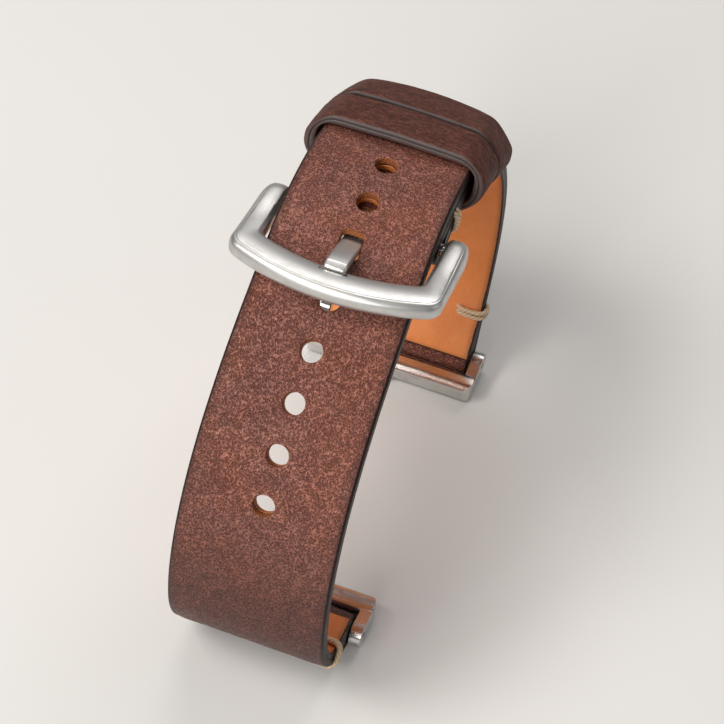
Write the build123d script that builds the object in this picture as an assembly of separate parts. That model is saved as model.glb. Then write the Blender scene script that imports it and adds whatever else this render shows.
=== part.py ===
"""Leather strap for a rectangular watch, fastened in a loop by its buckle.

X runs across the strap, Y from the lower lug (-Y) to the upper lug (+Y), Z is up.
The loop stands on its two lug ends. Every outline in the YZ plane is a rail: a chain of
tangent bends, walked from the lower lug over the crown, or from the buckle to the upper lug.
"""
import os
from collections import namedtuple
from math import atan2, cos, degrees, radians, sin

from build123d import *

# The loop seen from the side
lug_spacing = 50.0
loop_height = 59.7
crown_shift = 3.3
crown_turn = 112.4
buckle_bend_turn = 28.0
flat_run_share = 0.4318
shoulder_turn = 14.0
shoulder_share = 2.5455
flank_turn = 52.55
heel_turn = 64.4
heel_share = 0.5491
bar_turn = 7.0

# Leather
lug_width = 22.0
tail_width = 20.6
taper_direction = 40.0
leather_thickness = 1.3
lining_thickness = 0.8
glue_line = 0.02
strap_gap = 0.06
lug_turned_length = 13.0
buckle_turned_length = 9.6
tail_length = 122.0
tail_tip_radius = 13.0

# Strap holes
hole_count = 9
hole_radius = 1.5
hole_pitch = 7.0
first_hole = 43.0

# Keepers
keeper_width = 7.5
keeper_thickness = 1.6
keeper_corner = 4.2
keeper_inner_corner = 1.2
keeper_side_slack = 0.6
keeper_room_below = 0.65
fixed_keeper_start = 8.9
fixed_keeper_rise = 0.1
keeper_gap = 0.9
free_keeper_rise = 0.7
free_keeper_tilt = 8.0

# Spring bars at the lugs and in the buckle
tube_radius = 0.9
tube_wall = 0.3
tube_end_wall = 0.5
nib_radius = 0.4
nib_reach = 1.3
tip_head_length = 1.5
running_clearance = 0.05
wrap_clearance = 0.08
side_play = 0.2
bar_spring_wire = 0.2
bar_spring_turns = 12
wire_sides = 12

# Lug adapters
ear_thickness = 1.6
ear_radius = 1.9
ear_play = 0.15
slide_bar_depth = 3.2
slide_bar_height = 3.6
slide_bar_corner = 1.2
slide_bar_distance = 4.4
button_radius = 0.7
button_collar_radius = 1.0
button_collar_length = 0.5
button_proud = 0.6
button_mouth = 0.6
button_pocket_depth = 1.8
button_spring_wire = 0.16
button_spring_turns = 3

# Buckle
frame_tilt = 15.0
frame_arm_width = 3.5
frame_eye_width = 3.3
frame_side_gap = 0.5
frame_thickness = 2.5
front_bar_outer = 16.8
front_bar_depth = 5.0
front_bar_bow = 3.7
inner_bar_bow = 2.3
frame_corner = 2.4
frame_inner_corner = 1.2
frame_edge = 0.8
frame_inner_edge = 0.5
frame_eye_radius = 1.9
frame_socket_depth = 1.6
tongue_width = 3.0
tongue_thickness = 1.2
tongue_rest_overlap = 1.1
tongue_rest_level = 1.35
tongue_root_drop = 0.3
tongue_tip_length = 2.2
tongue_play = 0.15
tongue_lift = 3.0
tongue_slot_width = 4.0
tongue_slot_length = 3.4
notch_play = 0.4

# Stitches
thread_radius = 0.35
stitch_inset = 3.6
stitch_strand_pitch = 0.74
stitch_overhang = 0.06
stitch_corner = 0.45
lug_stitch_share = 0.65
buckle_stitch_share = 0.55

# Shared allowances
cut_overrun = 5.0
joined = 1e-6

os.makedirs("parts", exist_ok=True)

Bend = namedtuple("Bend", "centre radius start end")


# Rails in the YZ plane


def heading(angle):
    return Vector(cos(radians(angle)), sin(radians(angle)))


def bearing(vector):
    return degrees(atan2(vector.Y, vector.X)) % 360


def spot(bend, angle, offset=0.0):
    """Point of a bend where its outward normal has the given angle."""
    return bend.centre + heading(angle) * (bend.radius + offset)


def rail_edges(rail, offset=0.0):
    edges, last = [], None
    for bend in rail:
        first = spot(bend, bend.start, offset)
        if last is not None and (first - last).length > joined:
            edges.append(Line(last, first))
        last = spot(bend, bend.end, offset)
        if bend.start - bend.end > joined:
            middle = spot(bend, (bend.start + bend.end) / 2, offset)
            edges.append(ThreePointArc(first, middle, last))
    return edges


def rail_pieces(rail):
    """Straight and curved stretches in order: kind, length, bend."""
    pieces, last = [], None
    for bend in rail:
        first = spot(bend, bend.start)
        if last is not None and (first - last).length > joined:
            pieces.append(("straight", (first - last).length, bend))
        pieces.append(("bend", radians(bend.start - bend.end) * bend.radius, bend))
        last = spot(bend, bend.end)
    return pieces


def rail_length(rail):
    return sum(length for _, length, _ in rail_pieces(rail))


def station(rail, distance, offset=0.0):
    """Point and normal angle at a distance along the rail."""
    for kind, length, bend in rail_pieces(rail):
        if distance <= length + joined:
            if kind == "bend":
                angle = bend.start - degrees(distance / bend.radius)
                return spot(bend, angle, offset), angle
            run = heading(bend.start - 90) * (distance - length)
            return spot(bend, bend.start, offset) + run, bend.start
        distance -= length
    last = rail[-1]
    return spot(last, last.end, offset) + heading(last.end - 90) * distance, last.end


def cut_rail(rail, begin, finish):
    """The stretch of a rail between two distances."""
    kept, walked = [], 0.0
    for kind, length, bend in rail_pieces(rail):
        low, high = max(begin, walked), min(finish, walked + length)
        if low <= high:
            if kind == "bend":
                start = bend.start - degrees((low - walked) / bend.radius)
                end = bend.start - degrees((high - walked) / bend.radius)
                kept.append(Bend(bend.centre, bend.radius, start, end))
            else:
                for distance in (low, high):
                    point, angle = station(rail, distance)
                    centre = point - heading(angle) * bend.radius
                    kept.append(Bend(centre, bend.radius, angle, angle))
        walked += length
    return kept


def depth_below(rail, point):
    """Distance of a point inside the rail, and the rail's normal angle there."""
    found = []
    for kind, length, bend in rail_pieces(rail):
        if kind == "bend":
            reach = point - bend.centre
            angle = bearing(reach)
            for turn in (angle, angle - 360):
                if bend.end - joined <= turn <= bend.start + joined:
                    found.append((bend.radius - reach.length, turn))
        else:
            outward, forward = heading(bend.start), heading(bend.start - 90)
            back = spot(bend, bend.start) - point
            if 0 <= back.dot(forward) <= length:
                found.append((back.dot(outward), bend.start))
    return min(found)


def face_between(*groups):
    """Closed face from runs of edges, joined by straight lines where they stand apart."""
    edges = [edge for group in groups for edge in group]
    return make_face(Wire(edges))


def across(face, half_width):
    """Solid swept both ways along X from a face drawn in the YZ plane."""
    return extrude(Plane.YZ * face, half_width, both=True)


# Main points of the loop

leather_fold_radius = tube_radius + wrap_clearance + leather_thickness
strap_thickness = leather_thickness + glue_line + lining_thickness
pin_level = leather_fold_radius
between_straps = strap_thickness + strap_gap


def multiples(first, second, target):
    """How many of each of two vectors add up to the target."""
    area = first.X * second.Y - first.Y * second.X
    of_first = (target.X * second.Y - target.Y * second.X) / area
    of_second = (first.X * target.Y - first.Y * target.X) / area
    return of_first, of_second


def bend_from(point, angle, radius, turn):
    """Bend that ends at a point, where its outward normal has the given angle."""
    return Bend(point - heading(angle) * radius, radius, angle + turn, angle)


def near_bends(lower_pin, crown):
    """Bends from the lower fold to the crown, as large as their height and depth allow."""
    shoulder_end = 90 + buckle_bend_turn
    flank_end = shoulder_end + shoulder_turn
    heel_end = flank_end + flank_turn
    pin_end = heel_end + heel_turn
    upper = heading(shoulder_end) - heading(90) + heading(shoulder_end + 90) * flat_run_share
    upper += (heading(flank_end) - heading(shoulder_end)) * shoulder_share
    lower = heading(heel_end) - heading(flank_end)
    lower += (heading(pin_end) - heading(heel_end)) * heel_share
    target = lower_pin + heading(pin_end) * leather_fold_radius - crown
    top_radius, flank_radius = multiples(upper, lower, target)
    bend = bend_from(crown, 90, top_radius, buckle_bend_turn)
    flat_start = spot(bend, shoulder_end) + heading(shoulder_end + 90) * top_radius * flat_run_share
    shoulder = bend_from(flat_start, shoulder_end, top_radius * shoulder_share, shoulder_turn)
    flank = bend_from(spot(shoulder, flank_end), flank_end, flank_radius, flank_turn)
    heel = bend_from(spot(flank, heel_end), heel_end, flank_radius * heel_share, heel_turn)
    return [heel, flank, shoulder, bend]


def crown_radius_for(upper_pin, crown):
    """Radius over the crown that brings the short strap to the upper pin."""
    leave = 90 - crown_turn
    target = upper_pin - crown + heading(leave) * (leather_fold_radius + between_straps)
    return multiples(heading(leave) - heading(90), heading(leave - 90), target)[0]


def short_rail_for(upper_pin, crown, buckle_bend):
    """Outer surface of the short strap from the buckle bar to the upper lug."""
    radius = crown_radius_for(upper_pin, crown) - between_straps
    under = Bend(buckle_bend.centre, buckle_bend.radius - between_straps, 90 + bar_turn, 90)
    leave = 90 - crown_turn
    top = Bend(crown - heading(90) * (radius + between_straps), radius, 90, leave)
    return [under, top, Bend(upper_pin, leather_fold_radius, leave, leave)]


def loop_centre_shift():
    """Y of the middle of the loop when the lugs stand either side of zero."""
    crown = Vector(crown_shift, loop_height)
    rail = near_bends(Vector(-lug_spacing / 2, pin_level), crown)
    rear = min(bend.centre.X - bend.radius for bend in rail if bend.start >= 180 >= bend.end)
    front = crown_shift + crown_radius_for(Vector(lug_spacing / 2, pin_level), crown)
    return (rear + front - between_straps) / 2


loop_middle = loop_centre_shift()
lower_pin = Vector(-lug_spacing / 2 - loop_middle, pin_level)
upper_pin = Vector(lug_spacing / 2 - loop_middle, pin_level)
crown = Vector(crown_shift - loop_middle, loop_height)
crown_radius = crown_radius_for(upper_pin, crown)
near_rail = near_bends(lower_pin, crown)
tail_length_past_crown = tail_length - rail_length(near_rail)
tail_end = 90 - degrees(tail_length_past_crown / crown_radius)
long_rail = [*near_rail, Bend(crown - heading(90) * crown_radius, crown_radius, 90, tail_end)]
short_rail = short_rail_for(upper_pin, crown, near_rail[-1])
short_length = rail_length(short_rail)
bar_centre = spot(short_rail[0], short_rail[0].start, -leather_fold_radius)


# Leather layers


def turned_end(rail, pin, sign, turned_length, drop=0.0):
    """Line of a turned-back end, from the fold to the strap's inner surface."""
    total = rail_length(rail)
    angle = rail[0].start if sign > 0 else rail[-1].end
    leave = pin + heading(angle + 180 * sign) * (leather_fold_radius + drop)
    distance = turned_length if sign > 0 else total - turned_length
    meet, meet_angle = station(rail, distance, -leather_thickness - drop)
    tangents = [heading(angle - 90 * sign), heading(meet_angle - 90 * sign)]
    return Spline([leave, meet], tangents=tangents)


def fold_arc(pin, angle, sign):
    """Outer surface of the leather round a pin, half a turn."""
    turns = (angle, angle + 90 * sign, angle + 180 * sign)
    return ThreePointArc(*[pin + heading(turn) * leather_fold_radius for turn in turns])


def long_leather_face():
    inner = cut_rail(long_rail, lug_turned_length, tail_length)
    tip = Line(*[station(long_rail, tail_length, depth)[0] for depth in (0, -leather_thickness)])
    fold = fold_arc(lower_pin, long_rail[0].start, 1)
    line = turned_end(long_rail, lower_pin, 1, lug_turned_length)
    return face_between(rail_edges(long_rail), [tip], rail_edges(inner, -leather_thickness), [line, fold])


def long_lining_face():
    run = cut_rail(long_rail, lug_turned_length, tail_length)
    upper, lower = glue_line, glue_line + lining_thickness
    lines = [turned_end(long_rail, lower_pin, 1, lug_turned_length, drop) for drop in (upper, lower)]
    start = Line(lines[0] @ 0, lines[1] @ 0)
    ends = [station(long_rail, tail_length, -leather_thickness - drop)[0] for drop in (upper, lower)]
    edges = [rail_edges(run, -leather_thickness - drop) for drop in (upper, lower)]
    return face_between(*edges, lines, [start, Line(*ends)])


def short_leather_face():
    inner = cut_rail(short_rail, buckle_turned_length, short_length - lug_turned_length)
    parts = [
        turned_end(short_rail, bar_centre, 1, buckle_turned_length),
        turned_end(short_rail, upper_pin, -1, lug_turned_length),
        fold_arc(bar_centre, short_rail[0].start, 1),
        fold_arc(upper_pin, short_rail[-1].end, -1),
    ]
    return face_between(rail_edges(short_rail), rail_edges(inner, -leather_thickness), parts)


def short_lining_face():
    run = cut_rail(short_rail, buckle_turned_length, short_length - lug_turned_length)
    upper, lower = glue_line, glue_line + lining_thickness
    ends = ((bar_centre, 1, buckle_turned_length), (upper_pin, -1, lug_turned_length))
    lines = [turned_end(short_rail, *end, drop) for end in ends for drop in (upper, lower)]
    caps = [Line(lines[0] @ 0, lines[1] @ 0), Line(lines[2] @ 0, lines[3] @ 0)]
    edges = [rail_edges(run, -leather_thickness - drop) for drop in (upper, lower)]
    return face_between(*edges, lines, caps)


def half_width_at(height_share):
    """Half the strap's width, from the lugs (0) to the crown (1)."""
    return (lug_width + (tail_width - lug_width) * height_share) / 2


def taper(direction, near, far):
    """Wedge that narrows the strap from the lug to the crown."""
    up = Vector(0, cos(radians(direction)), sin(radians(direction)))
    low = up.dot(Vector(0, near.X, near.Y))
    high = up.dot(Vector(0, far.X, far.Y))
    slope = (half_width_at(1) - half_width_at(0)) / (high - low)
    reach = loop_height
    wide, narrow = half_width_at(0) - slope * reach, half_width_at(1) + slope * reach
    bottom, top = low - reach, high + reach
    outline = Polyline((-wide, bottom), (wide, bottom), (narrow, top), (-narrow, top), close=True)
    normal = Vector(0, -sin(radians(direction)), cos(radians(direction)))
    plane = Plane(origin=(0, 0, 0), x_dir=(1, 0, 0), z_dir=normal)
    return extrude(plane * make_face(outline), 2 * loop_height, both=True)


def surface_plane(rail, distance, depth=0.0):
    """Plane on the strap: X across, Y along the strap, Z out of it."""
    point, angle = station(rail, distance, -depth)
    out = heading(angle)
    return Plane(origin=(0, point.X, point.Y), x_dir=(1, 0, 0), z_dir=(0, out.X, out.Y))


def strap_hole(number):
    plane = surface_plane(long_rail, first_hole + number * hole_pitch)
    return plane * Cylinder(hole_radius, 2 * (strap_thickness + cut_overrun))


def tail_trim():
    """What is cut from the square tail to leave a rounded tip."""
    plane = surface_plane(long_rail, tail_length)
    block_height = tail_tip_radius + cut_overrun
    block = Pos(0, block_height / 2 - tail_tip_radius) * Rectangle(2 * lug_width, block_height)
    cut = block - Pos(0, -tail_tip_radius) * Circle(tail_tip_radius)
    return extrude(plane * cut, strap_thickness + cut_overrun, both=True)


def width_share(point, direction, near, far):
    along = heading(direction)
    return along.dot(point - near) / along.dot(far - near)


# Buckle frame, bar and tongue

bar_up = heading(90 - frame_tilt)
bar_out = heading(180 - frame_tilt)
frame_side = Plane(
    origin=(0, bar_centre.X, bar_centre.Y), x_dir=(0, bar_out.X, bar_out.Y), z_dir=(-1, 0, 0)
)
frame_plan = Plane(
    origin=(0, bar_centre.X, bar_centre.Y), x_dir=(-1, 0, 0), z_dir=(0, bar_up.X, bar_up.Y)
)
buckle_half_opening = half_width_at(1) + frame_side_gap
frame_half_width = buckle_half_opening + frame_arm_width
frame_eye_half_width = buckle_half_opening + frame_eye_width
front_bar_inner = front_bar_outer - front_bar_depth
bar_half_length = buckle_half_opening - ear_play
tongue_ring_radius = tube_radius + running_clearance + tongue_thickness
tongue_end = front_bar_inner + tongue_rest_overlap


def face_rims(body):
    """Edges of the frame's two flat faces, without the arms' ends."""
    flat = [edge for edge in body.edges() if abs(edge.center().Z) > frame_thickness / 2 - joined]
    return [edge for edge in flat if edge.center().Y > joined]


def buckle_frame():
    corner_level = front_bar_outer - front_bar_bow
    right, left = (frame_half_width, corner_level), (-frame_half_width, corner_level)
    bow = ThreePointArc(right, (0, front_bar_outer), left)
    arms = Polyline(left, (-frame_eye_half_width, 0), (frame_eye_half_width, 0), right)
    outline = make_face(Wire([bow, *arms.edges()]))
    front = [v for v in outline.vertices() if v.Y > joined]
    outline = fillet(front, frame_corner)
    inner_level = front_bar_inner - inner_bar_bow
    opening_sides = Polyline(
        (-buckle_half_opening, inner_level), (-buckle_half_opening, -front_bar_outer),
        (buckle_half_opening, -front_bar_outer), (buckle_half_opening, inner_level),
    )
    inner_bow = ThreePointArc(
        (buckle_half_opening, inner_level), (0, front_bar_inner), (-buckle_half_opening, inner_level)
    )
    opening = make_face(Wire([*opening_sides.edges(), inner_bow]))
    opening = fillet([v for v in opening.vertices() if v.Y > 0], frame_inner_corner)
    body = fillet(face_rims(extrude(outline, frame_thickness / 2, both=True)), frame_edge)
    body -= extrude(opening, front_bar_outer, both=True)
    inner = [rim for rim in face_rims(body) if rim.center().Y < front_bar_inner + joined]
    inner = [rim for rim in inner if abs(rim.center().X) < buckle_half_opening + joined]
    body = fillet(inner, frame_inner_edge)
    eyes = Rot(0, 90, 0) * Cylinder(frame_eye_radius, 2 * frame_eye_half_width)
    eyes = fillet(eyes.edges(), frame_edge)
    body += eyes - Rot(0, 90, 0) * Cylinder(2 * frame_eye_radius, 2 * buckle_half_opening)
    socket_end = buckle_half_opening + frame_socket_depth
    socket = x_cylinder(nib_radius + running_clearance, -socket_end, socket_end)
    notch_width = tongue_width + 2 * notch_play
    notch_floor = tongue_rest_level - tongue_thickness / 2 - glue_line
    notch_start = front_bar_inner - inner_bar_bow
    notch_length = tongue_end + notch_play - notch_start
    notch = Box(notch_width, notch_length, frame_thickness)
    notch = Pos(0, notch_start + notch_length / 2, notch_floor + frame_thickness / 2) * notch
    return frame_plan * (body - socket - notch)


def tongue_line(angle=0.0):
    """Middle line of the tongue's strip, from the ring to the tip."""
    ring_middle = tube_radius + running_clearance + tongue_thickness / 2
    root = Vector((ring_middle**2 - tongue_root_drop**2) ** 0.5, -tongue_root_drop)
    knee = Vector(tongue_end - tongue_tip_length, tongue_rest_level)
    tip = Vector(tongue_end - tongue_thickness / 2, tongue_rest_level)
    return [point.rotate(Axis.Z, angle) for point in (root, knee, tip)]


def tongue():
    points = tongue_line()
    strip = trace([Polyline(*points)], line_width=tongue_thickness)
    ring = Circle(tongue_ring_radius)
    shape = strip + ring - Circle(tube_radius + running_clearance)
    return extrude(frame_side * shape, tongue_width / 2, both=True)


def tongue_passage():
    """Room in the long strap for the tongue and its lift."""
    half = tongue_thickness / 2 + tongue_play
    low, high = tongue_line(), tongue_line(tongue_lift)
    lower = [point - Vector(0, half) for point in low]
    upper = [point + Vector(0, half) for point in reversed(high)]
    outline = Polyline(*lower, *upper, close=True)
    return extrude(frame_side * make_face(outline), tongue_width / 2 + tongue_play, both=True)


def tongue_slot():
    """Slot in the short strap's fold, where the tongue's ring sits on the bar."""
    length = leather_fold_radius + cut_overrun + tongue_slot_length
    middle = bar_centre.X + (tongue_slot_length - leather_fold_radius - cut_overrun) / 2
    place = Pos(0, middle, bar_centre.Y - leather_fold_radius)
    return place * Box(tongue_slot_width, length, 4 * leather_fold_radius)


# Spring bars


def x_cylinder(radius, start, end):
    return Pos((start + end) / 2, 0, 0) * Rot(0, 90, 0) * Cylinder(radius, end - start)


def coil(radius, wire_radius, turns, start, end, plane):
    """Open coil along the plane's normal, from start to end."""
    low, high = start + wire_radius + glue_line, end - wire_radius - glue_line
    path = Helix((high - low) / turns, high - low, radius)
    path = Pos(0, 0, low) * path
    section = Plane(origin=path @ 0, z_dir=path % 0) * RegularPolygon(wire_radius, wire_sides)
    return plane * sweep(section, path=path, is_frenet=True)


def spring_bar(name, centre, half_length):
    """Tube, coil spring and two sprung tips, on the X axis through a point."""
    bore = tube_radius - tube_wall
    mouth = nib_radius + running_clearance
    inside = half_length - tube_end_wall
    head = bore - running_clearance
    tube = x_cylinder(tube_radius, -half_length, half_length) - x_cylinder(bore, -inside, inside)
    tube -= x_cylinder(mouth, -half_length - cut_overrun, half_length + cut_overrun)
    nib = x_cylinder(nib_radius, inside - tip_head_length / 2, half_length + nib_reach)
    nib = fillet(nib.edges().sort_by(Axis.X)[-1], nib_radius / 2)
    tip = nib + x_cylinder(head, inside - tip_head_length, inside)
    spring_half = inside - tip_head_length
    wire_radius = bar_spring_wire / 2
    spring = coil(head - wire_radius, wire_radius, bar_spring_turns, -spring_half, spring_half, Plane.YZ)
    place = Pos(0, centre.X, centre.Y)
    return {
        f"{name}_tube": place * tube,
        f"{name}_spring": place * spring,
        f"{name}_tip_right": place * tip,
        f"{name}_tip_left": place * mirror(tip, Plane.YZ),
    }


# Lug adapters


def fold_bore(pin):
    """Room for a spring bar's tube in the leather's fold."""
    return Pos(0, pin.X, pin.Y) * x_cylinder(tube_radius + wrap_clearance, -lug_width, lug_width)


def adapter_parts(name, pin, side):
    """Slide-in bar with two ears, and its sprung detent button; side is +1 or -1 along Y."""
    inner_face = lug_width / 2 + side_play
    outer_face = inner_face + ear_thickness
    middle = pin.X + side * slide_bar_distance
    level = slide_bar_height / 2
    section = RectangleRounded(slide_bar_depth, slide_bar_height, slide_bar_corner)
    bar = extrude(Plane.YZ * Pos(middle, level) * section, outer_face, both=True)
    ends = RectangleRounded(2 * outer_face, slide_bar_depth, slide_bar_depth / 2 - glue_line)
    bar &= Pos(0, middle, level) * extrude(ends, slide_bar_height, both=True)
    ear = Pos(pin.X, pin.Y) * Circle(ear_radius) + make_face(
        Polyline(
            (pin.X, pin.Y + ear_radius), (middle, slide_bar_height - slide_bar_corner / 2),
            (middle, slide_bar_corner / 2), (pin.X, pin.Y - ear_radius), close=True,
        )
    )
    ears = extrude(Plane.YZ * ear, outer_face, both=True) - extrude(Plane.YZ * ear, inner_face, both=True)
    hole = Pos(0, pin.X, pin.Y) * x_cylinder(nib_radius + running_clearance, -lug_width, lug_width)
    bar_face = middle + side * slide_bar_depth / 2
    front = Plane(origin=(0, bar_face, level), x_dir=(1, 0, 0), z_dir=(0, -side, 0))
    mouth = Cylinder(button_radius + running_clearance, 2 * button_pocket_depth)
    pocket_end = button_mouth + button_pocket_depth
    pocket = Pos(0, 0, (button_mouth + pocket_end) / 2) * Cylinder(
        button_collar_radius + running_clearance, button_pocket_depth
    )
    adapter = bar + ears - hole - front * mouth - front * pocket
    nose_length = button_proud + button_mouth + button_collar_length / 2
    nose = Pos(0, 0, nose_length / 2 - button_proud) * Cylinder(button_radius, nose_length)
    nose = fillet(nose.edges().sort_by(Axis.Z)[0], button_radius / 2)
    collar = Pos(0, 0, button_mouth + button_collar_length / 2) * Cylinder(
        button_collar_radius, button_collar_length
    )
    spring = coil(
        button_collar_radius - button_spring_wire, button_spring_wire / 2, button_spring_turns,
        button_mouth + button_collar_length, pocket_end, front,
    )
    return {
        f"{name}_adapter": adapter,
        f"{name}_detent_button": front * (nose + collar),
        f"{name}_detent_spring": spring,
    }


# Keepers


def keeper(start, rise, tilt=0.0):
    """Leather loop round both straps, standing a little off them."""
    half = keeper_width / 2
    sag = half**2 / 2 / (crown_radius - between_straps - strap_thickness)
    below = between_straps + strap_thickness + sag + half * sin(radians(tilt)) + keeper_room_below
    half_width = half_width_at(1) + keeper_side_slack
    inner = RectangleRounded(2 * half_width, below + rise, keeper_inner_corner)
    outer = RectangleRounded(
        2 * (half_width + keeper_thickness), below + rise + 2 * keeper_thickness, keeper_corner
    )
    ring = Pos(0, (rise - below) / 2) * (outer - inner)
    middle = rail_length(long_rail) - tail_length_past_crown + start + half
    place = surface_plane(long_rail, middle)
    return place * Rot(tilt, 0, 0) * extrude(Plane.XZ * ring, half, both=True)


# Stitches


def stitch(rail, lining_line, share, hand, sink, direction, near, far, extra=0.0):
    """Two strands of thread round the strap's edge, through the turned end."""
    inner_point = lining_line @ share
    depth, angle = depth_below(rail, inner_point)
    outer_point = inner_point + heading(angle) * depth
    half_width = half_width_at(width_share(outer_point, direction, near, far))
    out = heading(angle)
    along = heading(angle - 90)
    left, right = half_width - stitch_inset, half_width + thread_radius + stitch_overhang
    top, bottom = thread_radius + stitch_overhang - sink, -depth - thread_radius - stitch_overhang
    loops = []
    for row in (-1, 1):
        origin = outer_point + along * (row * stitch_strand_pitch / 2)
        plane = Plane(
            origin=(0, origin.X, origin.Y), x_dir=(hand, 0, 0), z_dir=(0, -hand * along.X, -hand * along.Y)
        )
        path = RectangleRounded(right - left, top - bottom, stitch_corner).wire()
        path = Pos((left + right) / 2, (top + bottom) / 2) * path
        section = Plane(origin=path @ 0, z_dir=path % 0) * Circle(thread_radius + extra)
        loops.append(plane * sweep(section, path=path))
    return loops


def stitch_set(hand, extra=0.0):
    """The three stitches on one edge: lower lug, upper lug and buckle end."""
    drop = glue_line + lining_thickness
    lower = turned_end(long_rail, lower_pin, 1, lug_turned_length, drop)
    upper = turned_end(short_rail, upper_pin, -1, lug_turned_length, drop)
    buckle = turned_end(short_rail, bar_centre, 1, buckle_turned_length, drop)
    lug_sink = thread_radius + stitch_overhang
    full_sink = 2 * (thread_radius + stitch_overhang)
    long_taper = (taper_direction, lower_pin, crown)
    short_taper = (90, upper_pin, crown)
    share = buckle_stitch_share
    return {
        "lower_stitch": stitch(long_rail, lower, lug_stitch_share, hand, lug_sink, *long_taper, extra),
        "upper_stitch": stitch(short_rail, upper, lug_stitch_share, hand, lug_sink, *short_taper, extra),
        "buckle_stitch": stitch(short_rail, buckle, share, hand, full_sink, *short_taper, extra),
    }


# Run


def main():
    parts = {}
    right, left = stitch_set(1), stitch_set(-1)
    for name in right:
        parts[f"{name}_right"] = Compound(right[name])
        parts[f"{name}_left"] = Compound(left[name])
    room_right, room_left = stitch_set(1, running_clearance), stitch_set(-1, running_clearance)
    long_room = room_right["lower_stitch"] + room_left["lower_stitch"]
    short_room = room_right["upper_stitch"] + room_left["upper_stitch"]
    short_room += room_right["buckle_stitch"] + room_left["buckle_stitch"]

    holes = [strap_hole(number) for number in range(hole_count)]
    long_wedge = taper(taper_direction, lower_pin, crown)
    short_wedge = taper(90, upper_pin, crown)
    for name, face in (("leather", long_leather_face()), ("lining", long_lining_face())):
        layer = across(face, lug_width) & long_wedge
        layer = layer - fold_bore(lower_pin) - holes - tongue_passage() - tail_trim() - long_room
        parts[f"long_strap_{name}"] = layer
    for name, face in (("leather", short_leather_face()), ("lining", short_lining_face())):
        layer = across(face, lug_width) & short_wedge
        layer = layer - fold_bore(bar_centre) - fold_bore(upper_pin) - tongue_slot() - short_room
        parts[f"short_strap_{name}"] = layer

    parts["fixed_keeper"] = keeper(fixed_keeper_start, fixed_keeper_rise)
    free_start = fixed_keeper_start + keeper_width + keeper_gap
    parts["free_keeper"] = keeper(free_start, free_keeper_rise, free_keeper_tilt)
    parts["buckle_frame"] = buckle_frame()
    parts["buckle_tongue"] = tongue()
    parts.update(spring_bar("buckle_bar", bar_centre, bar_half_length))
    for name, pin, side in (("lower", lower_pin, 1), ("upper", upper_pin, -1)):
        parts.update(spring_bar(f"{name}_pin", pin, lug_width / 2))
        parts.update(adapter_parts(name, pin, side))

    for name, shape in parts.items():
        export_step(shape, f"parts/{name}.step")
        print(f"{name:28s} {shape.volume:10.3f} mm3")


main()
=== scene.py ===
"""Looks of the leather watch strap: leather, lining, keepers, buckle, thread and lug metal."""
from collections import namedtuple
from math import atan2, cos, degrees, pi, radians, sin, sqrt

import bmesh
import bpy
import numpy as np
from mathutils import Matrix, Vector, noise


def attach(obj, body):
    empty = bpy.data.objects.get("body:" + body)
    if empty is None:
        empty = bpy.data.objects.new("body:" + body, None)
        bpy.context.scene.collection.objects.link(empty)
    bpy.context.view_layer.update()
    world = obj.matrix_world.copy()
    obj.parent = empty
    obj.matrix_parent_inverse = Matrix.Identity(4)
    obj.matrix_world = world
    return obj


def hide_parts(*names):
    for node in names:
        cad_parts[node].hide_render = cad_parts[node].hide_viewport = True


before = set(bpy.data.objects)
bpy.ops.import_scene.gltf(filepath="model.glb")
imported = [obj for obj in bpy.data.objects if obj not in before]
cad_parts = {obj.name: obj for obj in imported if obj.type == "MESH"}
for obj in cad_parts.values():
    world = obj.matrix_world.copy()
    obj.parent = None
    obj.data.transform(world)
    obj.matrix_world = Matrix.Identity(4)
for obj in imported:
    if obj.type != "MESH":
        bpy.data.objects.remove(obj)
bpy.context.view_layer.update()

mm = 0.001

# The loop seen from the side, in mm, as in the part's source
lug_spacing = 50.0
loop_height = 59.7
crown_shift = 3.3
crown_turn = 112.4
buckle_bend_turn = 28.0
flat_run_share = 0.4318
shoulder_turn = 14.0
shoulder_share = 2.5455
flank_turn = 52.55
heel_turn = 64.4
heel_share = 0.5491
bar_turn = 7.0
lug_half_width = 11.0
tail_half_width = 10.3
taper_direction = 40.0
leather_thickness = 1.3
lining_thickness = 0.8
glue_line = 0.02
strap_gap = 0.06
lug_turned_length = 13.0
buckle_turned_length = 9.6
tail_length = 122.0
tail_tip_radius = 13.0
bore_radius = 0.98
hole_count = 9
hole_radius = 1.5
hole_pitch = 7.0
first_hole = 43.0
tongue_hole = 5  # counted from 0, so the sixth hole
fold_radius = bore_radius + leather_thickness
strap_thickness = leather_thickness + glue_line + lining_thickness
between_straps = strap_thickness + strap_gap

Bend = namedtuple("Bend", "centre radius start end")


# Rails in the YZ plane


def heading(angle):
    """Unit vector, or one row for each of several angles, in degrees."""
    turn = np.radians(angle)
    return np.stack([np.cos(turn), np.sin(turn)], -1)


def spot(bend, angle, offset=0.0):
    """Point of a bend at an angle, moved outwards by an offset."""
    return bend.centre + heading(angle) * (bend.radius + offset)


def bend_from(point, angle, radius, turn):
    """Bend that ends at a point, where its outward angle is known."""
    return Bend(point - heading(angle) * radius, radius, angle + turn, angle)


def multiples(first, second, target):
    """How many times each of two vectors is taken to make a third."""
    area = first[0] * second[1] - first[1] * second[0]
    of_first = (target[0] * second[1] - target[1] * second[0]) / area
    of_second = (first[0] * target[1] - first[1] * target[0]) / area
    return of_first, of_second


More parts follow.
